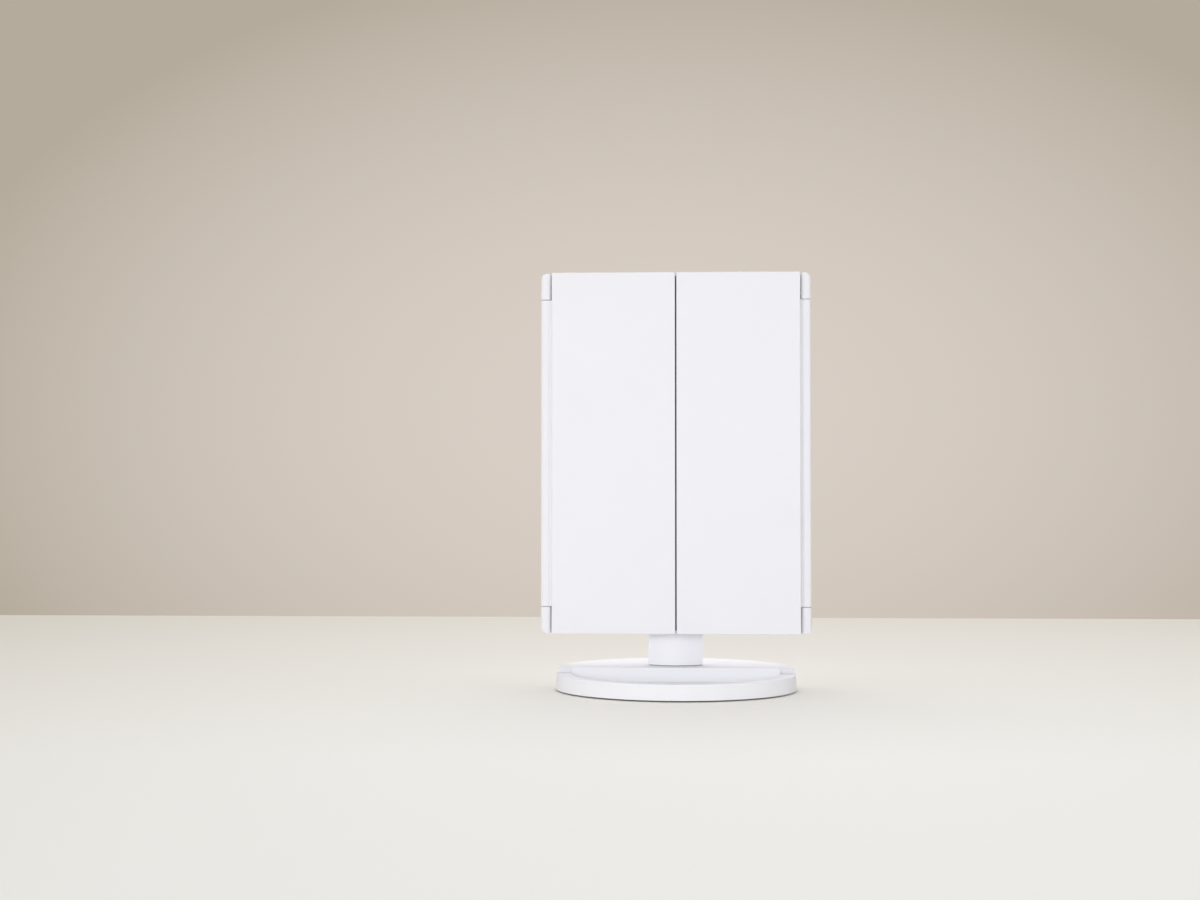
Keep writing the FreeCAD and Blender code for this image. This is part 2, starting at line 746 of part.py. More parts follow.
def tilt_washers():
    x0 = neck_width / 2 + slide_gap
    washer = rod_x(tilt_washer_r, x0, notch_half, tilt_y, tilt_z)
    washer = washer.cut(rod_x(tilt_pin_r + press_gap, 0, far, tilt_y, tilt_z))
    return [washer, mirror_x(washer)]


def tilt_pin_caps():
    end = tilt_ear_end()
    cap = rod_x(tilt_cap_r, end - tilt_cap_t, end, tilt_y, tilt_z)
    return [cap, mirror_x(cap)]


# ---------------------------------------------------------------- rear housing
def panel_block(inset, y0, y1):
    """The panel's front outline, with rounded corners, shrunk by inset."""
    half = panel_half - inset
    return rounded_plate_y(-half, half, panel_bottom_z + inset, panel_top_z - inset,
                           y0, y1, panel_corner_r - inset / 2)


def case_outer():
    return fillet_at_y(panel_block(0, case_split_y, case_rear_y), case_rear_y, case_rear_r)


def case_screw_places():
    low = panel_bottom_z + case_screw_low
    high = panel_top_z - case_screw_high
    return [(side * case_screw_x, z) for side in (-1, 1) for z in (low, (low + high) / 2, high)]


def bay_blocks():
    """Walls of the battery bay, thickened behind the door's edge."""
    x = bay_half_x + bay_wall
    walls = box(-x, x, bay_front_y - bay_floor_t, case_inner_y,
                bay_z0 - bay_wall, bay_z1 + bay_wall)
    edge = door_lap + fit_gap + door_flange
    flange_y = door_seat_y - door_flange
    flange = box(-bay_half_x - edge, bay_half_x + edge, flange_y, case_inner_y,
                 bay_z0 - edge, bay_z1 + edge)
    return [walls, flange]


def side_board_posts():
    """Posts that carry the two small boards, from the housing's back wall."""
    y0 = side_board_y + side_board_t
    z = side_board_z0 + side_post_rise
    reach = side_board_half - side_post_inset
    return [rod_y(side_post_r, y0, case_inner_y, x + dx, z)
            for x in (-side_board_x, side_board_x) for dx in (-reach, reach)]


def tilt_ears():
    ear = rod_x(tilt_ear_r, notch_half, tilt_ear_end(), tilt_y, tilt_z)
    return [ear, mirror_x(ear)]


def hinge_ledges():
    """Ledges on the side walls, which close the gaps beside the front frame."""
    ledge = box(wing_edge_x - ledge_lap, panel_half - case_wall / 2, case_split_y,
                case_split_y + ledge_t, panel_bottom_z + knuckle_height - ledge_lap,
                panel_top_z - knuckle_height + ledge_lap)
    return [ledge, mirror_x(ledge)]


def rear_housing():
    outer = case_outer()
    inner = panel_block(case_wall, case_split_y - over, case_inner_y)
    case = outer.cut(inner)
    edge = notch_half + notch_wall
    notch_case = box(-edge, edge, notch_floor_y - notch_wall, case_rear_y,
                     panel_bottom_z, notch_top_z + notch_wall)
    posts = [rod_y(case_post_r, case_post_y, case_inner_y, x, z)
             for x, z in case_screw_places()]
    parts = [notch_case.common(outer)] + bay_blocks() + posts + side_board_posts()
    case = fuse([case] + parts + tilt_ears() + hinge_ledges())
    notch = box(-notch_half, notch_half, notch_floor_y, far, 0, notch_top_z)
    case = case.cut(notch)
    end = tilt_ear_end()
    case = case.cut(rod_x(tilt_pin_r + press_gap, -end, end, tilt_y, tilt_z))
    for x0 in (-end, end - tilt_cap_t):
        case = case.cut(rod_x(tilt_cap_r + press_gap, x0, x0 + tilt_cap_t, tilt_y, tilt_z))
    for x, z in case_screw_places():
        case = case.cut(rod_y(screw_shank_r + screw_bore_gap, 0, far, x, z))
        case = case.cut(rod_y(screw_head_r + fit_gap, case_screw_head_y, far, x, z))
    case = case.cut(box(-bay_half_x, bay_half_x, bay_front_y, far, bay_z0, bay_z1))
    recess = rounded_plate_y(-door_half_x - slide_gap, door_half_x + slide_gap,
                             door_z0 - slide_gap, door_z1 + slide_gap, door_seat_y, far,
                             door_corner_r)
    case = case.cut(recess)
    case = case.cut(rod_y(door_grip_r, door_seat_y, far, 0, door_z1 + slide_gap))
    case = case.cut(door_hook_pockets())
    case = case.cut(socket_opening())
    return case.cut(knob_slot())


def socket_opening():
    gap = socket_wall + fit_gap
    return box(side_board_x - socket_half_x - gap, side_board_x + socket_half_x + gap,
               case_inner_y - over, far, socket_z - socket_half_z - gap,
               socket_z + socket_half_z + gap)


def knob_slot():
    """Slot in the back wall for the power knob, as long as its travel."""
    x = -side_board_x
    half_z = knob_half_z + knob_travel / 2 + slide_gap
    return box(x - knob_half_x - slide_gap, x + knob_half_x + slide_gap, case_inner_y - over,
               far, socket_z - half_z, socket_z + half_z)


# ---------------------------------------------------------------- front frame
def knuckle_spans():
    return [(panel_bottom_z, panel_bottom_z + knuckle_height),
            (panel_top_z - knuckle_height, panel_top_z)]


def light_path(half_width, y0, y1, end):
    """A U of slots or strips: across the top and down both sides, behind the windows."""
    top = box(-window_x - half_width, window_x + half_width, y0, y1,
              window_z - half_width, window_z + half_width)
    low_z = window_low_z - end
    sides = [box(s * window_x - half_width, s * window_x + half_width, y0, y1,
                 low_z, window_z + half_width) for s in (-1, 1)]
    return top, sides


def light_u(half_width, y0, y1, end):
    top, sides = light_path(half_width, y0, y1, end)
    return fuse([top] + sides)


def front_frame():
    plate = panel_block(0, case_front_y, case_split_y)
    for side in (-1, 1):
        x0 = min(side * wing_edge_x, side * (panel_half + over))
        x1 = max(side * wing_edge_x, side * (panel_half + over))
        plate = plate.cut(box(x0, x1, 0, case_split_y + over, panel_bottom_z + knuckle_height,
                              panel_top_z - knuckle_height))
    outline = panel_block(0, -far, case_split_y)
    knuckles = [rounded_bar_z(side * hinge_x, hinge_y, hinge_half, hinge_corner_r, z0, z1)
                for side in (-1, 1) for z0, z1 in knuckle_spans()]
    knuckles = [knuckle.common(outline) for knuckle in knuckles]
    rails = light_u(led_board_half, case_split_y, led_board_y,
                    light_slot_end + led_board_edge)
    bosses = [rod_y(case_boss_r, case_split_y, case_post_y, x, z)
              for x, z in case_screw_places()]
    posts = [rod_y(board_post_r, case_split_y, board_front_y, x, z)
             for x, z in board_post_places()]
    frame = fuse([plate] + knuckles + [rails] + bosses + posts)
    recess = rounded_plate_y(-glass_half_x, glass_half_x, glass_z0, glass_z1,
                             0, glass_seat_y, glass_corner_r)
    frame = frame.cut(recess)
    frame = frame.cut(light_u(light_slot_w / 2, 0, led_board_y + over, light_slot_end))
    frame = frame.cut(rod_y(touch_pad_r + fit_gap, 0, case_split_y + over, 0, touch_z))
    for x, z in case_screw_places():
        frame = frame.cut(rod_y(screw_shank_r + press_gap, case_split_y, far, x, z))
    for x, z in board_post_places():
        frame = frame.cut(rod_y(small_shank_r + press_gap, case_split_y, far, x, z))
    for side in (-1, 1):
        for z0, z1 in knuckle_pin_spans():
            frame = frame.cut(rod_z(hinge_pin_r + press_gap, z0, z1, side * hinge_x, hinge_y))
    return frame


def knuckle_pin_spans():
    """Height of the pin's hole in the lower and the upper knuckle."""
    low = panel_bottom_z + knuckle_height
    high = panel_top_z - knuckle_height
    return [(low - hinge_pin_in_knuckle, low), (high, high + hinge_pin_in_knuckle)]


def wing_hinge_pins():
    pins = []
    for side in (-1, 1):
        (low0, low1), (high0, high1) = knuckle_pin_spans()
        reach = knuckle_gap + hinge_pin_in_wing
        pins.append(rod_z(hinge_pin_r, low0, low1 + reach, side * hinge_x, hinge_y))
        pins.append(rod_z(hinge_pin_r, high0 - reach, high1, side * hinge_x, hinge_y))
    return pins


# ---------------------------------------------------------------- centre glass and lights
def window_places():
    """Centres of the light windows: across the top, then down both sides."""
    top = [(-window_x + window_pitch * (i + 1), window_z) for i in range(window_top_count)]
    sides = [(side * window_x, window_z - window_pitch * i)
             for side in (-1, 1) for i in range(window_side_count)]
    return top + sides


def window_plate(x, z, y0, y1, gap):
    half = window_size / 2 + gap
    return rounded_plate_y(x - half, x + half, z - half, z + half, y0, y1, window_corner_r)


def touch_ring(gap):
    outer = rod_y(touch_ring_r + gap, glass_y, glass_y + glass_t, 0, touch_z)
    hole = rod_y(touch_ring_r - touch_ring_w - gap, 0, far, 0, touch_z)
    return outer.cut(hole)


def centre_mirror():
    glass = rounded_plate_y(-glass_half_x + glass_gap, glass_half_x - glass_gap,
                            glass_z0 + glass_gap, glass_z1 - glass_gap,
                            glass_y, glass_y + glass_t, glass_corner_r)
    windows = Part.makeCompound([window_plate(x, z, 0, far, window_gap)
                                 for x, z in window_places()])
    glass = glass.cut(windows)
    mark_depth = rod_y(far, glass_y, glass_y + glass_t / 2, 0, touch_z)
    return glass.cut(touch_ring(window_gap / 2).common(mark_depth))


def light_windows():
    return [window_plate(x, z, glass_y, glass_y + glass_t, 0) for x, z in window_places()]


def touch_mark():
    """Frosted ring let into the face of the glass over the touch pad."""
    return touch_ring(0).common(rod_y(far, glass_y, glass_y + glass_t / 2, 0, touch_z))


def centre_mirror_pads():
    """Adhesive sheets between the centre glass and its seat."""
    reach = light_slot_w / 2 + pad_slot_gap
    half = window_x - reach
    y0 = glass_seat_y - pad_t
    low = box(-half, half, y0, glass_seat_y, glass_z0 + pad_low_margin, bay_z1)
    high = box(-half, half, y0, glass_seat_y, bay_z1 + pad_split, window_z - reach)
    return [low, high]


def light_diffuser():
    """Frosted strip in the frame's slots, against the back of the glass windows."""
    y0 = glass_seat_y - pad_t
    return light_u(light_slot_w / 2 - fit_gap, y0, y0 + diffuser_t,
                   light_slot_end - fit_gap)


def led_boards():
    """Three light boards, seated on the frame's rails."""
    half = led_board_half
    end = light_slot_end + led_board_edge
    top, sides = light_path(half, led_board_y, led_board_y + led_board_t, end)
    return [top] + [side.cut(box(-far, far, 0, far, window_z - half - fit_gap, far))
                    for side in sides]


def leds():
    half = led_size / 2
    return [box(x - half, x + half, led_board_y - led_t, led_board_y, z - half, z + half)
            for x, z in window_places()]


def touch_sensor_pad():
    return rod_y(touch_pad_r, touch_pad_y, touch_pad_y + touch_pad_t, 0, touch_z)


def touch_lead():
    """Flat flexible lead from the touch pad up to the main board."""
    plug_z = board_z0 + touch_plug_rise
    run = box(-touch_lead_half, touch_lead_half, touch_lead_y, touch_lead_y + touch_lead_t,
              touch_z, plug_z + touch_plug_h)
    stub = box(-touch_lead_half, touch_lead_half, touch_pad_y + touch_pad_t,
               touch_lead_y + touch_lead_t, touch_z, touch_z + touch_pad_r / 2)
    plug = box(-touch_lead_half, touch_lead_half, touch_lead_y, board_front_y,
               plug_z, plug_z + touch_plug_h)
    return fuse([run, stub, plug])


# ---------------------------------------------------------------- boards
def board_post_places():
    x = board_half_x - board_post_inset
    return [(sx * x, z) for sx in (-1, 1)
            for z in (board_z0 + board_post_inset, board_z1 - board_post_inset)]


def main_board():
    board = box(-board_half_x, board_half_x, board_front_y, board_front_y + board_t,
                board_z0, board_z1)
    for x, z in board_post_places():
        board = board.cut(rod_y(small_shank_r + screw_bore_gap, 0, far, x, z))
    return board


def board_block(x, z, half_x, half_z, thickness):
    """A flat component on the back of the main board, centred on (x, z)."""
    y = board_front_y + board_t
    return box(x - half_x, x + half_x, y, y + thickness, z - half_z, z + half_z)


def board_components():
    """Chips, coil, capacitor and connectors on the back of the main board."""
    y = board_front_y + board_t
    mid = (board_z0 + board_z1) / 2
    driver = board_block(0, mid, driver_half_x, driver_half_z, driver_t)
    touch_chip = board_block(-touch_chip_x, mid, touch_chip_half, touch_chip_half, touch_chip_t)
    coil = rod_y(coil_r, y, y + coil_h, coil_x, mid)
    capacitor = rod_y(capacitor_r, y, y + capacitor_h, -capacitor_x, board_z1 - capacitor_drop)
    plug_z = board_z0 + plug_edge + plug_t / 2
    plugs = [board_block(x, plug_z, plug_half, plug_t / 2, plug_t)
             for x in (-plug_pitch, 0, plug_pitch)]
    light_plug = board_block(0, board_z1 - plug_edge - plug_t / 2, light_plug_half,
                             plug_t / 2, plug_t)
    resistor_z = mid + resistor_rise + resistor_h / 2
    resistors = [board_block(resistor_pitch * (i - 1), resistor_z, resistor_half,
                             resistor_h / 2, resistor_t) for i in range(resistor_count)]
    return [driver, touch_chip, coil, capacitor] + plugs + [light_plug] + resistors


def board_screws():
    y = board_front_y + board_t
    return [small_screw(x, y, z, V(0, -1, 0), board_screw_l)
            for x, z in board_post_places()]


def side_board(x):
    return box(x - side_board_half, x + side_board_half, side_board_y,
               side_board_y + side_board_t, side_board_z0, side_board_z1)


def usb_board():
    return side_board(side_board_x)


def switch_board():
    return side_board(-side_board_x)


def usb_socket():
    """Charging socket: a steel shell round a contact tongue, open to the back."""
    y0 = side_board_y + side_board_t
    floor_y = y0 + socket_back_t
    x_out = socket_half_x + socket_wall
    z_out = socket_half_z + socket_wall
    shell = box(side_board_x - x_out, side_board_x + x_out, y0, case_rear_y - socket_set_back,
                socket_z - z_out, socket_z + z_out)
    shell = shell.cut(box(side_board_x - socket_half_x, side_board_x + socket_half_x,
                          floor_y, far, socket_z - socket_half_z, socket_z + socket_half_z))
    tongue = box(side_board_x - socket_tongue_half, side_board_x + socket_tongue_half,
                 floor_y, case_rear_y - socket_tongue_set_back,
                 socket_z - socket_tongue_half_t, socket_z + socket_tongue_half_t)
    return fuse([shell, tongue])


def power_switch_body():
    y0 = side_board_y + side_board_t
    body = box(-side_board_x - switch_body_half_x, -side_board_x + switch_body_half_x,
               y0, y0 + switch_body_depth, socket_z - switch_body_half_z,
               socket_z + switch_body_half_z)
    stem_z = knob_half_z + knob_travel / 2 + slide_gap
    return body.cut(box(-side_board_x - knob_half_x - slide_gap,
                        -side_board_x + knob_half_x + slide_gap, y0 + switch_floor_t, far,
                        socket_z - stem_z, socket_z + stem_z))


def switch_knob():
    """Sliding power knob, at the lower end of its travel, with grip ribs."""
    z = socket_z - knob_travel / 2
    y0 = side_board_y + side_board_t + switch_floor_t + slide_gap
    knob = box(-side_board_x - knob_half_x, -side_board_x + knob_half_x, y0,
               case_rear_y + knob_proud, z - knob_half_z, z + knob_half_z)
    pitch = 2 * knob_half_z / (knob_ribs + 1)
    for i in range(knob_ribs):
        rib_z = z - knob_half_z + pitch * (i + 1)
        knob = knob.cut(box(-far, far, case_rear_y + knob_proud - knob_rib_d, far,
                            rib_z - pitch / 5, rib_z + pitch / 5))
    return knob


# ---------------------------------------------------------------- batteries
def cell_x(i):
    return cell_pitch * (i - (cell_count - 1) / 2)


def battery_cells():
    """Cells lie side by side, every second one upside down."""
    cells = []
    for i in range(cell_count):
        up = i % 2 == 0
        low = bay_z0 + contact_t + (spring_l if up else 0)
        body_l = cell_l - cell_nub_l
        body_z = low if up else low + cell_nub_l
        nub_z = low + body_l if up else low
        can = rod_z(cell_r, body_z, body_z + body_l, cell_x(i), cell_y)
        ends = [e for e in can.Edges if e.BoundBox.ZLength < 1e-6]
        can = can.makeFillet(cell_edge_r, ends)
        cells.append(can.fuse(rod_z(cell_nub_r, nub_z, nub_z + cell_nub_l,
                                    cell_x(i), cell_y)).removeSplitter())
    return cells


def battery_contacts():
    """A nickel plate at each end of each cell."""
    plates = []
    for i in range(cell_count):
        for z0 in (bay_z0, bay_z1 - contact_t):
            plates.append(box(cell_x(i) - contact_half, cell_x(i) + contact_half,
                              cell_y - contact_half, cell_y + contact_half,
                              z0, z0 + contact_t))
    return plates


def battery_springs():
    """Leaf springs, each bent into a Z, that press on the flat end of each cell."""
    slope0 = spring_bend - spring_half
    slope1 = spring_l - spring_t
    springs = []
    for i in range(cell_count):
        low = bay_z0 + contact_t if i % 2 == 0 else bay_z1 - contact_t - spring_l
        outline = [(-spring_half, 0), (spring_half, 0), (spring_half, spring_t),
                   (slope0, spring_t), (spring_half, slope1), (spring_half, spring_l),
                   (-spring_half, spring_l), (-spring_half, slope1), (-slope0, slope1),
                   (-spring_half, spring_t)]
        corners = [V(cell_x(i) - spring_half_w, cell_y + u, low + v) for u, v in outline]
        leaf = Part.Face(Part.makePolygon(corners + corners[:1]))
        springs.append(leaf.extrude(V(2 * spring_half_w, 0, 0)))
    return springs


def door_hook_xs():
    return (-bay_half_x / 2, bay_half_x / 2)


def door_hooks():
    """Two hooks on the door's lower edge, which drop into pockets in the housing."""
    return [box(x - door_hook_half, x + door_hook_half, door_y, door_y + door_t / 2,
                door_z0 - door_hook_l, door_z0 + door_hook_root) for x in door_hook_xs()]


def door_hook_pockets():
    """Pockets for the hooks, open to the back so that the door lifts straight off."""
    half = door_hook_half + slide_gap
    return Part.makeCompound([box(x - half, x + half, door_seat_y, far,
                                  door_z0 - door_hook_l - slide_gap, door_z0)
                              for x in door_hook_xs()])


def battery_door():
    door = rounded_plate_y(-door_half_x, door_half_x, door_z0, door_z1,
                           door_y, case_rear_y, door_corner_r)
    door = fuse([door] + door_hooks())
    grip_z = door_z1 + slide_gap
    door = door.cut(rod_y(door_grip_r, door_y + door_t / 2, far, 0, grip_z))
    for i in range(door_ribs):
        z = door_z1 - door_rib_drop - door_rib_pitch * i
        door = door.cut(box(-door_rib_half, door_rib_half, case_rear_y - door_rib_d, far,
                            z - door_rib_half_w, z + door_rib_half_w))
    return door


# ---------------------------------------------------------------- screws of the housing
def housing_screws():
    return [big_screw(x, case_screw_head_y, z, V(0, -1, 0), case_screw_l)
            for x, z in case_screw_places()]


# ---------------------------------------------------------------- wires
def wire(points):
    """A round wire along straight runs joined by arcs of wire_bend_r at each corner."""
    edges = []
    start = points[0]
    for i in range(1, len(points) - 1):
        before = (points[i] - points[i - 1]).normalize()
        after = (points[i + 1] - points[i]).normalize()
        enter = points[i] - before * wire_bend_r
        leave = points[i] + after * wire_bend_r
        centre = enter + after * wire_bend_r
        middle = centre + (points[i] - centre).normalize() * wire_bend_r
        edges.append(Part.makeLine(start, enter))
        edges.append(Part.Arc(enter, middle, leave).toShape())
        start = leave
    edges.append(Part.makeLine(start, points[-1]))
    path = Part.Wire(edges)
    section = Part.Wire([Part.makeCircle(wire_r, points[0], points[1] - points[0])])
    return path.makePipeShell([section], True, False)


def wire_harness():
    """Supply leads from the two small boards up to the main board."""
    y = side_board_y - wire_r - press_gap
    wires = []
    for side in (-1, 1):
        for k in (0, 1):
            x_low = side * (side_board_x - wire_pair_half * (2 * k - 1))
            x_up = side * (wire_in - wire_pitch * k)
            run_z = board_z0 - wire_run_drop - wire_run_pitch * k
            wires.append(wire([V(x_low, y, side_board_z1 - wire_lap),
                               V(x_low, y, run_z),
                               V(x_up, y, run_z),
                               V(x_up, y, board_z0 + wire_end_lap)]))
    return wires


# ---------------------------------------------------------------- wings, drawn at +X
def wing_block(inner_x, inset, y0, y1):
    return rounded_plate_y(inner_x + inset, wing_edge_x - inset,
                           panel_bottom_z + inset, panel_top_z - inset, y0, y1,
                           wing_corner_r)


def wing_cover():
    """Outer shell of a wing: a flat face with a low wall round it."""
    block = wing_block(wing_inner_x, 0, wing_front_y, wing_split_y)
    shell = fillet_at_y(block, wing_front_y, wing_edge_r)
    hollow = wing_block(wing_inner_x, wing_wall, wing_front_y + wing_wall, wing_split_y + over)
    return shell.cut(hollow)


def wing_barrel():
    """The long hinge barrel and the web that joins it to the wing's frame."""
    barrel = rounded_bar_z(hinge_x, hinge_y, hinge_half, hinge_corner_r, barrel_z0, barrel_z1)
    web = box(wing_edge_x - over, hinge_x, wing_web_y, wing_back_y, barrel_z0, barrel_z1)
    return barrel.fuse(web)


def wing_bush_bores(radius):
    x, y = hinge_x, hinge_y
    return [rod_z(radius, barrel_z0, barrel_z0 + hinge_pin_in_wing, x, y),
            rod_z(radius, barrel_z1 - hinge_pin_in_wing, barrel_z1, x, y)]


def hinge_bushes():
    """Friction bushes in both ends of the barrel, round the hinge pins."""
    pins = wing_bush_bores(hinge_pin_r + running_gap)
    return [bush.cut(pin) for bush, pin in zip(wing_bush_bores(hinge_bush_r), pins)]


def wing_frame_blank():
    plate = wing_block(wing_frame_inner_x, 0, wing_split_y, wing_back_y)
    return fuse([plate, wing_barrel()])


def wing_frame_finish(frame):
    for bore in wing_bush_bores(hinge_bush_r + press_gap):
        frame = frame.cut(bore)
    return frame


def wing_opening(z0, z1, y0, y1, gap):
    return rounded_plate_y(wing_inner_x + wing_rim + gap, wing_edge_x - wing_rim - gap,
                           z0 + gap, z1 - gap, y0, y1, glass_corner_r)


def flat_wing_frame():
    frame = wing_frame_blank()
    z0 = panel_bottom_z + wing_rim
    z1 = panel_top_z - wing_rim
    return wing_frame_finish(frame.cut(wing_opening(z0, z1, wing_seat_y, far, 0)))


def flat_wing_glass():
    y1 = wing_glass_face_y
    z0 = panel_bottom_z + wing_rim
    z1 = panel_top_z - wing_rim
    return wing_opening(z0, z1, y1 - glass_t, y1, glass_gap)


def flat_wing_pads():
    """Two adhesive sheets between the flat glass and its seat."""
    y1 = wing_glass_face_y - glass_t
    mid = (panel_bottom_z + panel_top_z) / 2
    margin = wing_rim + wing_pad_margin
    split = wing_pad_split / 2
    return [box(wing_inner_x + margin, wing_edge_x - margin, wing_seat_y, y1, z0, z1)
            for z0, z1 in ((panel_bottom_z + margin, mid - split),
                           (mid + split, panel_top_z - margin))]


def pane_spans():
    """Heights of the lower and the upper glass of the magnifying wing."""
    low = panel_bottom_z + wing_rim
    high = panel_top_z - wing_rim
    mid = (low + high) / 2
    return (low, mid - wing_bar / 2), (mid + wing_bar / 2, high)


def curved_wing_frame():
    frame = wing_frame_blank()
    for z0, z1 in pane_spans():
        frame = frame.cut(wing_opening(z0, z1, -far, far, 0))
    return wing_frame_finish(frame)


def pane_sphere(span, sphere_r, depth):
    """Sphere whose surface passes through the glass's corners, moved back by depth."""
    z0, z1 = span
    half_x = (wing_edge_x - wing_inner_x) / 2 - wing_rim
    half_z = (z1 - z0) / 2
    reach = sqrt(sphere_r ** 2 - half_x ** 2 - half_z ** 2)
    centre = V((wing_edge_x + wing_inner_x) / 2, wing_glass_face_y + reach, (z0 + z1) / 2)
    return Part.makeSphere(sphere_r + depth, centre)


def curved_glass(span, sphere_r):
    """A magnifying glass: a pressed sheet of even thickness, hollow towards the user."""
    block = wing_opening(span[0], span[1], wing_front_y, wing_back_y, glass_gap)
    sheet = block.common(pane_sphere(span, sphere_r, curved_glass_t))
    return sheet.cut(pane_sphere(span, sphere_r, 0))


def curved_pad(span, sphere_r):
    """Foam block between a curved glass and the wing's cover."""
    x = (wing_edge_x + wing_inner_x) / 2
    z = (span[0] + span[1]) / 2
    block = box(x - curved_pad_half_x, x + curved_pad_half_x, wing_front_y + wing_wall,
                wing_back_y, z - curved_pad_half_z, z + curved_pad_half_z)
    return block.cut(pane_sphere(span, sphere_r, curved_glass_t + curved_pad_gap))


# ---------------------------------------------------------------- the assembly
def left(shapes):
    """The same pieces on the left wing."""
    if isinstance(shapes, list):
        return [mirror_x(shape) for shape in shapes]
    return mirror_x(shapes)


lower_pane, upper_pane = pane_spans()

pieces = {
    "base_tray": base_tray(),
    "base_bottom_cover": base_bottom_cover(),
    "base_ballast": base_ballast(),
    "base_feet": base_feet(),
    "base_screws": base_screws(),
    "neck_shell": neck_shell(),
    "neck_back_cover": neck_back_cover(),
    "neck_screws": neck_screws(),
    "neck_cover_screw": neck_cover_screw(),
    "tilt_bushes": tilt_bushes(),
    "tilt_pin": tilt_pin(),
    "tilt_washers": tilt_washers(),
    "tilt_pin_caps": tilt_pin_caps(),
    "rear_housing": rear_housing(),
    "front_frame": front_frame(),
    "housing_screws": housing_screws(),
    "wing_hinge_pins": wing_hinge_pins(),
    "centre_mirror": centre_mirror(),
    "centre_mirror_pads": centre_mirror_pads(),
    "light_windows": light_windows(),
    "touch_mark": touch_mark(),
    "light_diffuser": light_diffuser(),
    "led_boards": led_boards(),
    "leds": leds(),
    "touch_sensor_pad": touch_sensor_pad(),
    "touch_lead": touch_lead(),
    "main_board": main_board(),
    "board_components": board_components(),
    "board_screws": board_screws(),
    "usb_board": usb_board(),
    "usb_socket": usb_socket(),
    "switch_board": switch_board(),
    "power_switch_body": power_switch_body(),
    "switch_knob": switch_knob(),
    "wire_harness": wire_harness(),
    "battery_cells": battery_cells(),
    "battery_contacts": battery_contacts(),
    "battery_springs": battery_springs(),
    "battery_door": battery_door(),
    "right_wing_cover": wing_cover(),
    "right_wing_frame": flat_wing_frame(),
    "right_wing_glass": flat_wing_glass(),
    "right_wing_pads": flat_wing_pads(),
    "right_hinge_bushes": hinge_bushes(),
    "left_wing_cover": left(wing_cover()),
    "left_wing_frame": left(curved_wing_frame()),
    "left_wing_upper_glass": left(curved_glass(upper_pane, upper_glass_r)),
    "left_wing_lower_glass": left(curved_glass(lower_pane, lower_glass_r)),
    "left_wing_pads": left([curved_pad(upper_pane, upper_glass_r),
                            curved_pad(lower_pane, lower_glass_r)]),
    "left_hinge_bushes": left(hinge_bushes()),
}

os.makedirs("parts", exist_ok=True)
for name, shape in pieces.items():
    solid = Part.makeCompound(shape) if isinstance(shape, list) else shape
    solid.exportStep("parts/" + name + ".step")
    print(name, "solids", len(solid.Solids), "valid", solid.isValid(), round(solid.Volume, 1))
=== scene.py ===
import json
import math

import bpy
import numpy as np
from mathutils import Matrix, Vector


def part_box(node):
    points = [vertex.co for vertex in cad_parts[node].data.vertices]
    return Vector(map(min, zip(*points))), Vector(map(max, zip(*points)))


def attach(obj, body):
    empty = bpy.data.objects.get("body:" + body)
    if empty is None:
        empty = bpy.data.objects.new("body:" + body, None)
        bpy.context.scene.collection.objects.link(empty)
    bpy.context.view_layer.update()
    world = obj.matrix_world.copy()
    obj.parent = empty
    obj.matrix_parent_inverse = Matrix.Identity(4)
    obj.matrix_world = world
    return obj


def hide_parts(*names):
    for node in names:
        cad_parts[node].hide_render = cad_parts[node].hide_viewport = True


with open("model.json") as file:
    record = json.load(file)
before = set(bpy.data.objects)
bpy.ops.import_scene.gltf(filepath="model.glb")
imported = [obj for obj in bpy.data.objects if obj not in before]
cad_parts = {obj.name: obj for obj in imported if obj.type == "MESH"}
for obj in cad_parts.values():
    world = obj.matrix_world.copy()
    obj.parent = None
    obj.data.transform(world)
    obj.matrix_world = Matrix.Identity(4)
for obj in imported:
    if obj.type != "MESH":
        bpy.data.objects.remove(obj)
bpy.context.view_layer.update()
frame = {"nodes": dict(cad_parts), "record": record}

# Trifold vanity mirror: closed wings over a lit centre glass, on an oval tray base.
# Metres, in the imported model's frame: X to the right, Y to the back, Z up.
scene = bpy.context.scene
MM, MICRON = 1e-3, 1e-6


# ---------------------------------------------------------------- camera
IMAGE_WIDTH, SENSOR_WIDTH = 1200, 36.0          # pixels, millimetres
FOCAL_PIXELS = 1480                             # focal length in pixels of the image
CAMERA_PLACE = (-0.0134, -0.9888, 0.1393)
CAMERA_YAW, CAMERA_PITCH = 2.15, 1.17           # degrees, to the left and up
VIEW_START, VIEW_END = 0.02, 30.0

camera_data = bpy.data.cameras.new("camera")
camera = bpy.data.objects.new("camera", camera_data)
scene.collection.objects.link(camera)
scene.camera = camera
camera_data.sensor_width = SENSOR_WIDTH
camera_data.lens = FOCAL_PIXELS / IMAGE_WIDTH * SENSOR_WIDTH
camera_data.clip_start, camera_data.clip_end = VIEW_START, VIEW_END
camera.location = CAMERA_PLACE
camera.rotation_euler = (math.radians(90 + CAMERA_PITCH), 0, math.radians(CAMERA_YAW))
scene.view_settings.view_transform = "Standard"


# ---------------------------------------------------------------- colours
def tone(red, green, blue):
    """A display colour of 0 to 255 per channel as a linear colour, by the sRGB curve."""
    shade = np.array([red, green, blue]) / 255
    low, high = shade / 12.92, ((shade + 0.055) / 1.055) ** 2.4
    return (*np.where(shade <= 0.04045, low, high).tolist(), 1.0)


def scaled(colour, share):
    """A colour with each of its three channels times share, and at most 1."""
    return (*(min(1.0, channel * share) for channel in colour[:3]), 1.0)


# ---------------------------------------------------------------- shader building
MIX_SHARE, MIX_FIRST, MIX_SECOND, MIX_RESULT = 0, 6, 7, 2        # a Mix node's colour sockets


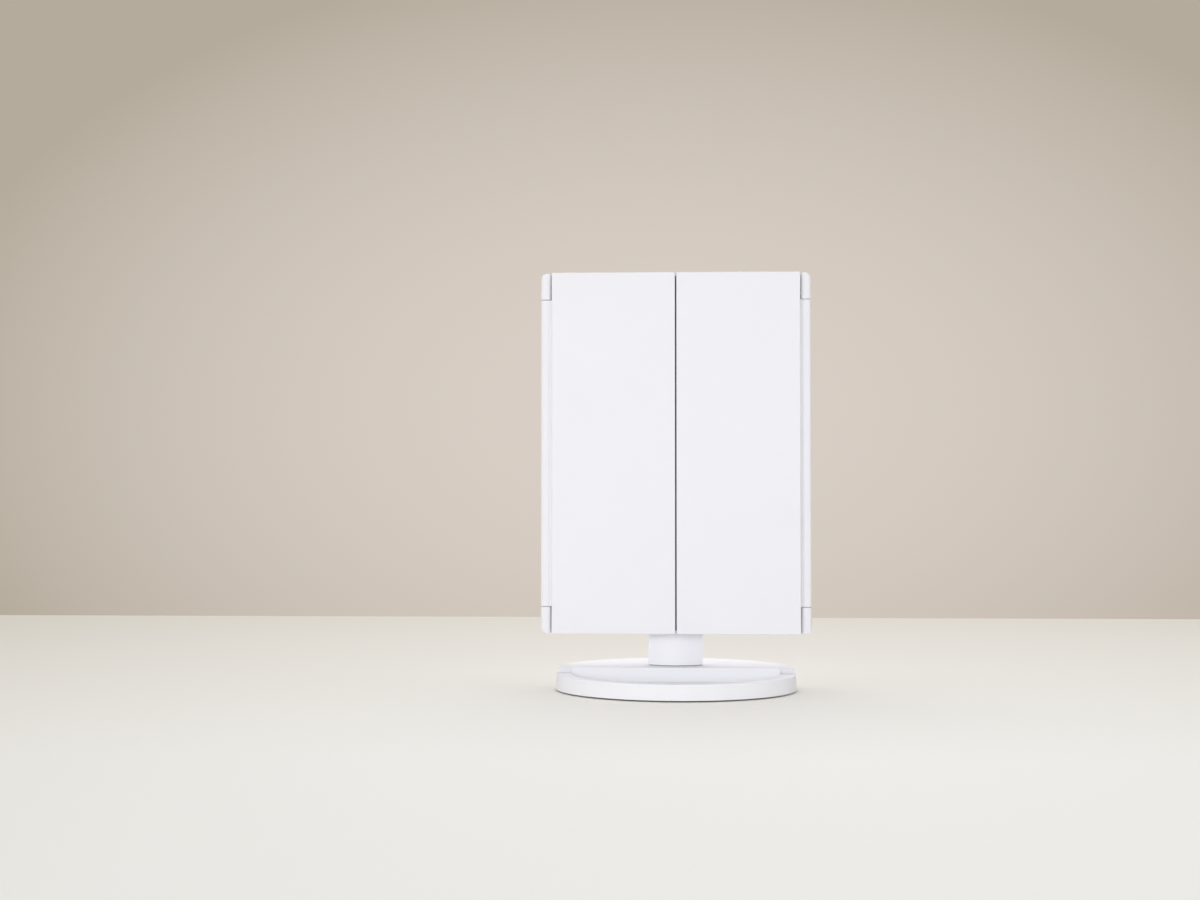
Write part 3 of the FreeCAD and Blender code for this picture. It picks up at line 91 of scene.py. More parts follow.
def feed(tree, socket, value):
    """Sets a socket to a value, or links it where the value is another node's socket."""
    if isinstance(value, bpy.types.NodeSocket):
        tree.links.new(value, socket)
    else:
        socket.default_value = value


def add(tree, kind, sockets=(), **settings):
    """A shader node with its settings, and with values or links for its sockets."""
    made = tree.nodes.new("ShaderNode" + kind)
    for name, value in settings.items():
        setattr(made, name, value)
    for name, value in dict(sockets).items():
        feed(tree, made.inputs[name], value)
    return made


def noise(tree, vector, scale, detail=2.0, rough=0.5):
    """Noise of 0 to 1, mostly near the middle."""
    return add(tree, "TexNoise", {"Vector": vector, "Scale": scale, "Detail": detail,
                                  "Roughness": rough}).outputs["Fac"]


def maths(tree, operation, first, second=0.0):
    """The result of one operation of a Math node."""
    return add(tree, "Math", {0: first, 1: second}, operation=operation).outputs[0]


def plus(tree, first, second):
    return maths(tree, "ADD", first, second)


def minus(tree, first, second):
    return maths(tree, "SUBTRACT", first, second)


def times(tree, first, second):
    return maths(tree, "MULTIPLY", first, second)


def spread(tree, value, low, high, to_low=0.0, to_high=1.0):
    """value carried from the span low to high onto the span to_low to to_high, and held there."""
    return add(tree, "MapRange", {"Value": value, "From Min": low, "From Max": high,
                                  "To Min": to_low, "To Max": to_high}).outputs["Result"]


def blend(tree, share, first, second):
    """The first colour, going over into the second as share goes from 0 to 1."""
    return add(tree, "Mix", {MIX_SHARE: share, MIX_FIRST: first, MIX_SECOND: second},
               data_type="RGBA").outputs[MIX_RESULT]


def squared(tree, value, centre, reach):
    """((value - centre) / reach) squared."""
    offset = maths(tree, "DIVIDE", minus(tree, value, centre), reach)
    return times(tree, offset, offset)


def mixed_surface(tree, share, first, second, output="Material Output"):
    """Shows the first shader, going over into the second as share goes from 0 to 1."""
    both = add(tree, "MixShader", {0: share, 1: first, 2: second})
    tree.links.new(both.outputs[0], tree.nodes[output].inputs["Surface"])


# ---------------------------------------------------------------- shared effects
MIDDLE, WIDE_MIDDLE = (0.35, 0.65), (0.3, 0.7)  # spans that hold most values of a noise

GRAIN_SCALE, DRIFT_SCALE = 2200.0, 14.0         # noise cells per metre, as all scales here
SMEAR_SCALE, SMEAR_SPAN = 22.0, (0.52, 0.72)
BREAK_UP = 7.0                                  # how much finer the noise is that breaks it up
FACING_UP = (0.5, 0.95)                         # Z of the normals where dust begins and is full
FILM_SCALE, FILM_SPAN = 60.0, (0.45, 0.75)
SPECK_SCALE, SPECK_SPAN = 900.0, (0.66, 0.74)
HALF_COVER = (0.0, 0.5)                         # what film and specks each give at most
LINE_SCALE, LINE_STRETCH = 3000.0, (1.0, 1.0, 0.02)
PATCH_SCALE = 90.0


def group(name, inputs, outputs, fill):
    """A shader node group from a label, a kind and a value for each input and a label for each
    output. fill(tree, entry) returns one socket for each output."""
    tree = bpy.data.node_groups.new(name, "ShaderNodeTree")
    for label, kind, value in inputs:
        socket = tree.interface.new_socket(label, in_out="INPUT", socket_type="NodeSocket" + kind)
        if value is not None:
            socket.default_value = value
    for label in outputs:
        tree.interface.new_socket(label, in_out="OUTPUT", socket_type="NodeSocketFloat")
    entry = tree.nodes.new("NodeGroupInput")
    leave = tree.nodes.new("NodeGroupOutput")
    for label, socket in zip(outputs, fill(tree, entry.outputs)):
        tree.links.new(socket, leave.inputs[label])
    return tree


def fill_moulding(tree, entry):
    """Fine spark-eroded grain, and the slow unevenness of a moulded wall."""
    fine = noise(tree, entry["Vector"], entry["Grain"], detail=2.0, rough=0.6)
    slow = noise(tree, entry["Vector"], entry["Drift"], detail=3.0, rough=0.5)
    return fine, spread(tree, slow, *WIDE_MIDDLE)


def fill_handling(tree, entry):
    """Smears left by hands: broad patches broken up by a finer noise."""
    broad = noise(tree, entry["Vector"], entry["Patch"], detail=3.0, rough=0.55)
    fine = noise(tree, entry["Vector"], times(tree, entry["Patch"], BREAK_UP), detail=2.0,
                 rough=0.6)
    return (times(tree, spread(tree, broad, *SMEAR_SPAN), spread(tree, fine, *MIDDLE)),)


def fill_dust(tree, entry):
    """Dust that settles on what faces upwards, in specks and a thin film."""
    up = add(tree, "SeparateXYZ", {0: entry["Normal"]}).outputs["Z"]
    film = noise(tree, entry["Vector"], FILM_SCALE, detail=3.0, rough=0.6)
    specks = noise(tree, entry["Vector"], SPECK_SCALE, detail=1.0, rough=0.5)
    cover = plus(tree, spread(tree, film, *FILM_SPAN, *HALF_COVER),
                 spread(tree, specks, *SPECK_SPAN, *HALF_COVER))
    return (times(tree, spread(tree, up, *FACING_UP), cover),)


def fill_brushing(tree, entry):
    """Fine lines along Z, a noise stretched far that way, and patches that shine less."""
    stretched = add(tree, "Mapping", {"Vector": entry["Vector"], "Scale": LINE_STRETCH})
    lines = noise(tree, stretched.outputs["Vector"], entry["Lines"], detail=3.0, rough=0.6)
    patch = noise(tree, entry["Vector"], PATCH_SCALE, detail=2.0, rough=0.5)
    return lines, spread(tree, patch, *MIDDLE)


VECTOR_IN = ("Vector", "Vector", None)
MOULDING = group("moulding", [VECTOR_IN, ("Grain", "Float", GRAIN_SCALE),
                              ("Drift", "Float", DRIFT_SCALE)], ["Height", "Drift"], fill_moulding)
HANDLING = group("handling", [VECTOR_IN, ("Patch", "Float", SMEAR_SCALE)], ["Mask"],
                 fill_handling)
DUST = group("settled dust", [VECTOR_IN, ("Normal", "Vector", None)], ["Mask"], fill_dust)
BRUSHING = group("brushing", [VECTOR_IN, ("Lines", "Float", LINE_SCALE)], ["Height", "Shade"],
                 fill_brushing)


# ---------------------------------------------------------------- finishes
EDGE_ROUND, EDGE_SAMPLES = 0.25 * MM, 4
PLASTIC_IOR, GLASS_IOR, OPAL_IOR, BOARD_IOR, RUBBER_IOR = 1.46, 1.52, 1.5, 1.5, 1.45


class Finish:
    """A material with its Principled shader and the object's own coordinates at hand."""

    def __init__(self, name, **plain):
        self.material = bpy.data.materials.new(name)
        self.material.use_nodes = True
        self.tree = self.material.node_tree
        self.shader = self.tree.nodes["Principled BSDF"]
        place = self.tree.nodes.new("ShaderNodeTexCoord")
        self.place, self.normal = place.outputs["Object"], place.outputs["Normal"]
        for name, value in plain.items():
            self.shader.inputs[name.replace("_", " ")].default_value = value

    def link(self, name, socket):
        """Links another node's output to a socket of the Principled shader."""
        self.tree.links.new(socket, self.shader.inputs[name])

    def use(self, effect, **sockets):
        """The outputs of one of the shared effects, placed on the object's coordinates."""
        values = {"Vector": self.place, **sockets}
        return add(self.tree, "Group", values, node_tree=effect).outputs

    def bump(self, height, depth, edge=0.0):
        """Relief of the given depth, over edges that look rounded to a radius, in metres."""
        relief = add(self.tree, "Bump", {"Height": height, "Distance": depth, "Strength": 1.0})
        if edge:
            rounded = add(self.tree, "Bevel", {"Radius": edge}, samples=EDGE_SAMPLES)
            self.tree.links.new(rounded.outputs["Normal"], relief.inputs["Normal"])
        self.link("Normal", relief.outputs["Normal"])

    def axes(self):
        """X, Y and Z of the object's own coordinates."""
        return add(self.tree, "SeparateXYZ", {0: self.place}).outputs


# The second tone is painted shade: the dark grey of a shaded recess, with its grime.
DUST_TONE, SEAM_SHADE_TONE = tone(196, 190, 180), tone(120, 116, 112)
GLOSS_DRIFT = 0.03                  # how far a moulding's roughness wanders to either side
MARK_DULLING = 0.08                 # roughness that hand marks add to a moulding
# height over which that painted recess shade fades out
SEAM_SHADE_FADE = 0.02 * MM


def moulded(name, colour, roughness, grain_depth=2 * MICRON, drift=0.02, dust=0.25, sheen=0.5,
            shaded_below=None):
    """Moulded plastic: slow unevenness of colour and gloss, hand marks, dust and fine grain.
    drift is the share by which its colour darkens and dust how much of it settled dust hides.
    The last argument is a height under which its colour is painted dark grey: the painted
    shade of a recess, with some grime."""
    finish = Finish(name, IOR=PLASTIC_IOR, Specular_IOR_Level=sheen)
    tree = finish.tree
    skin = finish.use(MOULDING)
    marks = finish.use(HANDLING)["Mask"]
    dusty = times(tree, finish.use(DUST, Normal=finish.normal)["Mask"], dust)
    body = blend(tree, skin["Drift"], scaled(colour, 1 - drift), colour)
    # Painted shade: below the given height the colour goes over to the dark recess tone.
    if shaded_below:
        unshaded = spread(tree, finish.axes()["Z"], shaded_below - SEAM_SHADE_FADE, shaded_below)
        body = blend(tree, unshaded, SEAM_SHADE_TONE, body)
    finish.link("Base Color", blend(tree, dusty, body, DUST_TONE))
    gloss = spread(tree, skin["Drift"], 0.0, 1.0, roughness - GLOSS_DRIFT,
                   roughness + GLOSS_DRIFT)
    marked = plus(tree, gloss, times(tree, marks, MARK_DULLING))
    finish.link("Roughness", plus(tree, marked, dusty))
    finish.bump(skin["Height"], grain_depth, EDGE_ROUND)
    return finish.material


METAL_SMEAR_SCALE = 60.0
METAL_SHADE = 0.82                  # the share of its colour that a dull patch keeps
PATCH_DULLING, METAL_MARK_DULLING = 0.08, 0.12


def metal(name, colour, roughness, lines=LINE_SCALE, depth=1.5 * MICRON):
    """Plated or brushed metal with fine lines and uneven gloss."""
    finish = Finish(name, Metallic=1.0)
    tree = finish.tree
    brushed = finish.use(BRUSHING, Lines=lines)
    marks = finish.use(HANDLING, Patch=METAL_SMEAR_SCALE)["Mask"]
    dark = scaled(colour, METAL_SHADE)
    finish.link("Base Color", blend(tree, brushed["Shade"], dark, colour))
    gloss = spread(tree, brushed["Shade"], 0.0, 1.0, roughness + PATCH_DULLING, roughness)
    finish.link("Roughness", plus(tree, gloss, times(tree, marks, METAL_MARK_DULLING)))
    finish.bump(brushed["Height"], depth)
    return finish.material


SILVER, SMEARED_SILVER = (0.93, 0.935, 0.94, 1), (0.90, 0.905, 0.91, 1)
GLASS_EDGE = (0.42, 0.60, 0.54, 1)
FACE_TURN = (0.6, 0.8)              # Y of the normals between a ground edge and a silvered face
GLASS_SMEAR_SCALE = 16.0
SILVER_ROUGHNESS, SMEAR_DULLING = 0.012, 0.03
GROUND_SCALE, GROUND_ROUGHNESS = 1500.0, (0.25, 0.40)


def mirror_glass(name):
    """Silvered glass: a mirror over its two faces, clear greenish glass at its ground edge."""
    finish = Finish(name, IOR=GLASS_IOR)
    tree = finish.tree
    across = add(tree, "SeparateXYZ", {0: finish.normal}).outputs["Y"]
    face = spread(tree, maths(tree, "ABSOLUTE", across), *FACE_TURN)
    marks = finish.use(HANDLING, Patch=GLASS_SMEAR_SCALE)["Mask"]
    silver = blend(tree, marks, SILVER, SMEARED_SILVER)
    finish.link("Base Color", blend(tree, face, GLASS_EDGE, silver))
    finish.link("Metallic", face)
    smeared = plus(tree, times(tree, marks, SMEAR_DULLING), SILVER_ROUGHNESS)
    ground = spread(tree, noise(tree, finish.place, GROUND_SCALE), *WIDE_MIDDLE,
                    *GROUND_ROUGHNESS)
    finish.link("Roughness", plus(tree, times(tree, smeared, face),
                                  times(tree, ground, minus(tree, 1.0, face))))
    return finish.material


OPAL_GRAIN, OPAL_DRIFT, OPAL_DEPTH = 5200.0, 120.0, 4 * MICRON
OPAL_SHADE, OPAL_DULLING = 0.96, 0.08
MILKINESS, MILK_DEPTH = 0.25, 1.0 * MM


def frosted(name, colour, roughness):
    """Etched glass or opal plastic: a fine even sparkle over a milky body."""
    finish = Finish(name, IOR=OPAL_IOR, Subsurface_Weight=MILKINESS, Subsurface_Scale=MILK_DEPTH)
    tree = finish.tree
    skin = finish.use(MOULDING, Grain=OPAL_GRAIN, Drift=OPAL_DRIFT)
    dark = scaled(colour, OPAL_SHADE)
    finish.link("Base Color", blend(tree, skin["Drift"], dark, colour))
    finish.link("Roughness", spread(tree, skin["Drift"], 0.0, 1.0, roughness,
                                    roughness + OPAL_DULLING))
    finish.bump(skin["Height"], OPAL_DEPTH)
    return finish.material


TRACKS = {"Scale": 160.0, "Mortar Size": 0.09, "Brick Width": 0.9, "Row Height": 0.45}
TRACK_LIGHT = 1.7                   # how much lighter the resist looks over copper
PADS = {"Scale": 260.0, "Randomness": 0.35}
PAD_EDGE = (0.16, 0.13)             # from a pad's middle, in cells: where it begins and is full
WEAVE_SCALE, WEAVE_SHARE, BOARD_DEPTH = 2600.0, 0.2, 30 * MICRON
BOARD_ROUGHNESS = (0.28, 0.42)


def circuit_board(name, resist, copper):
    """A glass fibre board: solder resist over raised tracks, and bare pads in a loose grid.
    The tracks are the bricks of a brick pattern that is turned to lie along X and Z."""
    finish = Finish(name, IOR=BOARD_IOR)
    tree = finish.tree
    flat = add(tree, "Mapping", {"Vector": finish.place, "Rotation": (math.radians(90), 0, 0)})
    gaps = add(tree, "TexBrick", {"Vector": flat.outputs["Vector"], **TRACKS}).outputs["Fac"]
    pads = add(tree, "TexVoronoi", {"Vector": finish.place, **PADS}, feature="F1")
    bare = spread(tree, pads.outputs["Distance"], *PAD_EDGE)
    weave = noise(tree, finish.place, WEAVE_SCALE)
    body = blend(tree, gaps, scaled(resist, TRACK_LIGHT), resist)
    finish.link("Base Color", blend(tree, bare, body, copper))
    finish.link("Metallic", bare)
    finish.link("Roughness", spread(tree, weave, *WIDE_MIDDLE, *BOARD_ROUGHNESS))
    raised = minus(tree, 1.0, gaps)
    finish.bump(plus(tree, times(tree, weave, WEAVE_SHARE), raised), BOARD_DEPTH)
    return finish.material


SHEET_DRIFT, SHEET_SHADE = 60.0, 0.86
SHEET_GLOSS, SHEET_DULL = -0.06, 0.04       # how far its roughness wanders down and up


def soft_sheet(name, colour, roughness, grain, depth):
    """Rubber, foam tape or film: matt, with open grain."""
    finish = Finish(name, IOR=RUBBER_IOR)
    tree = finish.tree
    skin = finish.use(MOULDING, Grain=grain, Drift=SHEET_DRIFT)
    dark = scaled(colour, SHEET_SHADE)
    finish.link("Base Color", blend(tree, skin["Height"], dark, colour))
    finish.link("Roughness", spread(tree, skin["Drift"], 0.0, 1.0, roughness + SHEET_GLOSS,
                                    roughness + SHEET_DULL))
    finish.bump(skin["Height"], depth)
    return finish.material


WHITE = (0.864, 0.861, 0.897, 1)
# Lighter copies of the white, painted light: the neck's makes up for the shade under the panel,
# the base's for the shade in its tray.
BASE_LIGHTENED_WHITE, NECK_LIGHTENED_WHITE = (0.888, 0.885, 0.914, 1), (0.93, 0.925, 0.955, 1)
SATIN, SATIN_SHEEN = 0.38, 0.3      # roughness and specular level of the white mouldings
FINISHES = {
    "white_shell": moulded("white satin shell", WHITE, SATIN, sheen=SATIN_SHEEN),
    "white_frame": moulded("white satin frame", WHITE, roughness=0.40, sheen=SATIN_SHEEN),
    "white_inner": moulded("white matt inner face", (0.80, 0.80, 0.82, 1), roughness=0.55,
                           grain_depth=6 * MICRON),
    "mirror_glass": mirror_glass("silvered glass"),
    "frosted_light": frosted("etched window", (0.90, 0.90, 0.87, 1), roughness=0.48),
    "diffuser": frosted("opal strip", (0.88, 0.88, 0.84, 1), roughness=0.55),
    "board_green": circuit_board("green board", resist=(0.02, 0.16, 0.07, 1),
                                 copper=(0.85, 0.72, 0.45, 1)),
    "board_white": circuit_board("white board", resist=(0.80, 0.80, 0.78, 1),
                                 copper=(0.75, 0.74, 0.70, 1)),
    "chip_black": moulded("moulded epoxy", (0.022, 0.022, 0.025, 1), roughness=0.5,
                          grain_depth=8 * MICRON, drift=0.2, dust=0.0),
    "led_body": moulded("light emitter", (0.90, 0.78, 0.30, 1), roughness=0.30,
                        grain_depth=1 * MICRON, drift=0.1, dust=0.0),
    "copper_pad": metal("copper foil", (0.80, 0.45, 0.24, 1), roughness=0.30),
    "flex_lead": soft_sheet("film lead", (0.55, 0.25, 0.05, 1), roughness=0.40, grain=900.0,
                            depth=3 * MICRON),
    "wire_cover": moulded("insulated lead", (0.42, 0.02, 0.02, 1), roughness=0.42, drift=0.1,
                          dust=0.0),
    "steel": metal("zinc plated steel", (0.60, 0.60, 0.61, 1), roughness=0.30),
    "spring_steel": metal("nickel plated strip", (0.72, 0.70, 0.66, 1), roughness=0.18,
                          lines=1800.0, depth=0.8 * MICRON),
    "rubber_feet": soft_sheet("pale rubber", (0.48, 0.48, 0.48, 1), roughness=0.82,
                              grain=1400.0, depth=20 * MICRON),
    "bush_plastic": moulded("grey acetal", (0.10, 0.10, 0.11, 1), roughness=0.45,
                            grain_depth=3 * MICRON, drift=0.1, dust=0.0),
    "adhesive": soft_sheet("foam tape", (0.74, 0.74, 0.70, 1), roughness=0.85, grain=1800.0,
                           depth=30 * MICRON),
    "cell_jacket": moulded("cell jacket", (0.03, 0.035, 0.04, 1), roughness=0.28,
                           grain_depth=1 * MICRON, drift=0.1, dust=0.0),
    "black_plastic": moulded("black nylon", (0.018, 0.018, 0.02, 1), roughness=0.42,
                             grain_depth=5 * MICRON, drift=0.2, dust=0.1),
}


def put_on(node, finish):
    """Gives a CAD node its finish in place of the one that it was loaded with."""
    node.data.materials.clear()
    node.data.materials.append(finish)


SLOT_OF = {part["node"]: part["material_slot"] for part in frame["record"]["subparts"]}
for name, slot in SLOT_OF.items():
    put_on(frame["nodes"][name], FINISHES[slot])

NECK_SEAM = 0.4 * MM                # height of the recess round the neck's foot
BASE_SATIN = 0.52                   # the base is a little duller than the rest
neck_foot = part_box("neck_shell")[0][2]
# The neck wears the lighter white: painted light against the shade under the panel.
# The neck's foot is painted dark up to the top of its recess: painted shade, with some grime.
put_on(frame["nodes"]["neck_shell"],
       moulded("white satin neck", NECK_LIGHTENED_WHITE, SATIN, sheen=SATIN_SHEEN,
               shaded_below=neck_foot + NECK_SEAM))
# The base wears the lighter white: painted light against the shade in its tray.
put_on(frame["nodes"]["base_tray"],
       moulded("white satin base", BASE_LIGHTENED_WHITE, BASE_SATIN, sheen=SATIN_SHEEN))


# ---------------------------------------------------------------- edges of the moulded parts
CREASE_ANGLE = 40.0                 # degrees between two faces that meet in a sharp edge
FACE_WEIGHT = 50                    # at 50, each face counts by its area
WELD_REACH = 0.2 * MICRON
# The CAD nodes whose triangles are joined, so that their rounded faces shade smoothly.
WELDED = ("base_tray", "neck_shell", "neck_back_cover", "rear_housing", "front_frame",
          "battery_door", "right_wing_frame", "left_wing_frame", "tilt_pin_caps",
          "centre_mirror", "left_wing_upper_glass", "left_wing_lower_glass", "base_feet",
          "usb_socket", "housing_screws", "neck_cover_screw", "base_screws")


def smooth_by_angle(limit):
    """A geometry node group: smooth faces, and a crease where two meet at more than limit."""
    tree = bpy.data.node_groups.new("smooth by angle", "GeometryNodeTree")
    for way in ("INPUT", "OUTPUT"):
        tree.interface.new_socket("Geometry", in_out=way, socket_type="NodeSocketGeometry")
    entry, leave = tree.nodes.new("NodeGroupInput"), tree.nodes.new("NodeGroupOutput")
    smooth = tree.nodes.new("GeometryNodeSetShadeSmooth")
    crease = tree.nodes.new("GeometryNodeSetShadeSmooth")
    crease.domain = "EDGE"
    crease.inputs["Shade Smooth"].default_value = False
    angle = tree.nodes.new("GeometryNodeInputMeshEdgeAngle")
    steep = tree.nodes.new("FunctionNodeCompare")
    steep.operation = "GREATER_THAN"
    steep.inputs["B"].default_value = math.radians(limit)
    for source, target in ((entry.outputs[0], smooth.inputs["Geometry"]),
                           (smooth.outputs[0], crease.inputs["Geometry"]),
                           (angle.outputs["Unsigned Angle"], steep.inputs["A"]),
                           (steep.outputs[0], crease.inputs["Selection"]),
                           (crease.outputs[0], leave.inputs[0])):
        tree.links.new(source, target)
    return tree


CREASED = smooth_by_angle(CREASE_ANGLE)


def shade(piece):
    """Smooth faces with creases, and normals that keep flat faces flat."""
    piece.modifiers.new("creases", "NODES").node_group = CREASED
    even = piece.modifiers.new("shading", "WEIGHTED_NORMAL")
    even.keep_sharp = True
    even.weight = FACE_WEIGHT


for name in WELDED:
    node = frame["nodes"][name]
    node.modifiers.new("join", "WELD").merge_threshold = WELD_REACH
    shade(node)


# ---------------------------------------------------------------- surfaces
def surface(name, rows, closed=False, caps=False):
    """A mesh from a grid of points, rows by columns by three. Each cell is one face. closed
    joins the last column to the first, and caps closes the first and last row by a flat face."""
    points = np.asarray(rows, float)
    count = points.shape[1]
    number = np.arange(points.shape[0] * count).reshape(-1, count)
    grid = np.concatenate([number, number[:, :1]], 1) if closed else number
    faces = np.stack([grid[:-1, :-1], grid[:-1, 1:], grid[1:, 1:], grid[1:, :-1]], -1)
    faces = faces.reshape(-1, 4).tolist()
    if caps:
        faces += [number[0, ::-1].tolist(), number[-1].tolist()]
    mesh = bpy.data.meshes.new(name)
    mesh.from_pydata(points.reshape(-1, 3).tolist(), [], faces)
    mesh.update()
    made = bpy.data.objects.new(name, mesh)
    scene.collection.objects.link(made)
    return made


QUARTER = math.pi / 2
CORNER_POINTS = 6


def rounded_rectangle(x0, x1, z0, z1, radius):
    """X and Z of points round a rectangle with a quarter circle at each corner."""
    turn = np.linspace(0, QUARTER, CORNER_POINTS)
    corners = ((x1 - radius, z1 - radius), (x0 + radius, z1 - radius),
               (x0 + radius, z0 + radius), (x1 - radius, z0 + radius))
    x = [cx + radius * np.cos(turn + k * QUARTER) for k, (cx, cz) in enumerate(corners)]
    z = [cz + radius * np.sin(turn + k * QUARTER) for k, (cx, cz) in enumerate(corners)]
    return np.concatenate(x), np.concatenate(z)


def finish_piece(piece, body, finishes, node=None, zones=None):
    """Gives a piece its finishes, smooth shading and body, and hides the CAD node that it stands
    for.
    zones gives the finish of each face."""
    for finish in finishes:
        piece.data.materials.append(finish)
    if zones is not None:
        piece.data.polygons.foreach_set("material_index", np.asarray(zones, np.int32))
    shade(piece)
    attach(piece, body)
    if node:
        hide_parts(node)


# ---------------------------------------------------------------- wing covers
COVER_WALL, COVER_CORNER, COVER_EDGE = 1.6 * MM, 1.0 * MM, 0.6 * MM
CORNER_LEAST = 0.3 * MM
EDGE_POINTS = 7


def wing_cover(side):
    """A wing's outer shell. A profile of insets and places along Y, which runs from the floor
    of the hollow over its wall, the rim and the outer wall to a quarter round, is carried round
    a rectangle with rounded corners. Flat faces close it at the hollow's floor and in front."""
    node = side + "_wing_cover"
    (x0, y0, z0), (x1, y1, z1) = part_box(node)
    turn = np.linspace(0, QUARTER, EDGE_POINTS)
    inset = np.concatenate([[COVER_WALL, COVER_WALL, 0], COVER_EDGE * (1 - np.cos(turn))])
    depth = np.concatenate([[y0 + COVER_WALL, y1, y1], y0 + COVER_EDGE * (1 - np.sin(turn))])
    rows = []
    for off, y in zip(inset, depth):
        x, z = rounded_rectangle(x0 + off, x1 - off, z0 + off, z1 - off,
                                 max(COVER_CORNER - off, CORNER_LEAST))
        rows.append(np.stack([x, np.full_like(x, y), z], -1))
    piece = surface("v_" + node, rows, closed=True, caps=True)
    finish_piece(piece, side + "_wing", [FINISHES["white_shell"]], node)


# ---------------------------------------------------------------- dark strips in the centre gap, painted shade
STRIP_DEPTH, STRIP_CLEAR, STRIP_END = 0.30 * MM, 0.02 * MM, 2.2 * MM


def gap_shade_strip(side, x0, x1):
    """The dark strip from x0 to x1 on the step along a wing's inner edge: painted shade, a black
    piece that darkens the gap of a shut pair. It is a small rectangle of constant section along Z."""
    (_, _, z0), (_, y1, z1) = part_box(side + "_wing_cover")
    front, rear = y1 - STRIP_DEPTH, y1 - STRIP_CLEAR
    outline = np.array([[x1, front], [x1, rear], [x0, rear], [x0, front]])
    rows = [np.column_stack([outline, np.full(len(outline), z)])
            for z in (z0 + STRIP_END, z1 - STRIP_END)]
    piece = surface("v_" + side + "_wing_gap_shade_strip", rows, closed=True, caps=True)
    finish_piece(piece, side + "_wing", [FINISHES["black_plastic"]])


def gap_shade_strips():
    """The left strip reaches across to the right wing's frame, and the right one begins there."""
    right_edge, right_step = (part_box("right_wing_" + part)[0][0] for part in ("frame", "cover"))
    left_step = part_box("left_wing_cover")[1][0]
    gap_shade_strip("left", left_step, right_edge - STRIP_CLEAR)
    gap_shade_strip("right", right_edge, right_step)


# ---------------------------------------------------------------- battery cells
CELL_LENGTH, CELL_NUB = 44.5, 1.0   # millimetres
CELL_COUNT, CELL_AROUND = 4, 48
JACKET, BAND, CAN = range(3)
# The profile up one cell, in millimetres, with the finish of the band above each point. At the
# foot and the shoulder each point's first two numbers are how far it lies inside the cell's
# radius and from that end. At the nub they are its radius and its height over the shoulder.
CELL_FOOT = ((0.75, 0.0, CAN), (0.45, 0.0, CAN), (0.30, 0.12, JACKET), (0.08, 0.30, JACKET),
             (0.0, 0.55, JACKET))
CELL_SHOULDER = ((0.0, 9.0, BAND), (0.0, 0.55, BAND), (0.08, 0.30, BAND), (0.30, 0.10, BAND),
                 (0.60, 0.0, CAN))
CELL_TOP = ((2.75, 0.0, CAN), (2.60, -0.12, CAN), (1.95, -0.12, CAN), (1.80, 0.0, CAN),
            (1.80, CELL_NUB - 0.25, CAN), (1.55, CELL_NUB, CAN))
BAND_FINISH = metal("cell band", (0.78, 0.50, 0.22, 1), roughness=0.26, lines=1200.0,
                    depth=0.6 * MICRON)


def cell_profile(radius):
    """Radius and height of each point up one cell, in millimetres, and the finish above it."""
    shoulder = CELL_LENGTH - CELL_NUB
    return ([(radius - inside, up, finish) for inside, up, finish in CELL_FOOT]
            + [(radius - inside, shoulder - down, finish) for inside, down, finish
               in CELL_SHOULDER]
            + [(ring, shoulder + up, finish) for ring, up, finish in CELL_TOP])


def battery_cells():
    """Four cells, every second one upside down. Each is a profile turned about its axis."""
    (x0, y0, z0), (x1, y1, z1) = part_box("battery_cells")
    radius, length = (y1 - y0) / 2, CELL_LENGTH * MM
    ring, height, kind = (np.array(column) for column in zip(*cell_profile(radius / MM)))
    around = np.linspace(0, 2 * math.pi, CELL_AROUND, endpoint=False)
    grid = MM * np.stack([np.outer(ring, np.cos(around)), np.outer(ring, np.sin(around)),
                          np.repeat(height[:, None], CELL_AROUND, 1)], -1)
    zones = np.concatenate([np.repeat(kind[:-1], CELL_AROUND), [CAN, CAN]])
    finishes = [FINISHES["cell_jacket"], BAND_FINISH, FINISHES["spring_steel"]]
    for i, x in enumerate(np.linspace(x0 + radius, x1 - radius, CELL_COUNT)):
        upright = i % 2 == 0
        turn = np.array([1, 1, 1] if upright else [1, -1, -1])
        foot = (x, (y0 + y1) / 2, z1 - length if upright else z0 + length)
        piece = surface("v_battery_cell_%d" % (i + 1), grid * turn + foot, closed=True, caps=True)
        finish_piece(piece, "panel", finishes, "battery_cells", zones)


for side in ("right", "left"):
    wing_cover(side)
# Dark strips that paint the shade in the centre gap.
gap_shade_strips()
battery_cells()


# ---------------------------------------------------------------- floor and wall
FLOOR_HALF = 3.2
WALL_Y, WALL_TOP = 0.52, 0.95
# The far and side tones are painted shade: the table darkens to the back and sides as its light
# falls off.
TABLE_TONE, TABLE_FAR_SHADED, TABLE_SIDE_SHADED = tone(252, 251, 246), tone(234, 228, 217), tone(217, 211, 199)
TABLE_DEPTH = (-0.25, WALL_Y)       # Y from which the table's tone goes over to TABLE_FAR_SHADED
TABLE_MIDDLE, TABLE_REACH = 0.1, 0.9    # X of its middle, and how far from it TABLE_SIDE_SHADED lies
FLECK_SCALE, FLECK_SHARE = 700.0, (0.0, 0.06)
TABLE_ROUGHNESS, TABLE_SHEEN = 0.9, 0.1
TABLE_LIFT = 0.03                   # share of its colour that straight views of it add
TABLE_GLOW = tone(214, 207, 197)
FADE = (0.85, 1.4)                  # how far out the table turns into TABLE_GLOW
# WALL_BRIGHT and WALL_DIM paint the wall's light: a pool of light behind the mirror that falls off
# to the edges.
WALL_TONE, WALL_DIM = tone(217, 207, 198), tone(166, 156, 138)
WALL_BRIGHT = (-0.012, 0.214)       # X and Z of its brightest place
WALL_REACH = (0.90, 0.543)          # from there to where WALL_DIM would be reached
WALL_LIMIT = 0.74                   # share of the way to WALL_DIM at which it stays


def rectangle(name, corner, first, second):
    """A flat sheet from a corner along two edges."""
    corner, first, second = (np.array(v, float) for v in (corner, first, second))
    return surface(name, [[corner, corner + first], [corner + second, corner + first + second]])


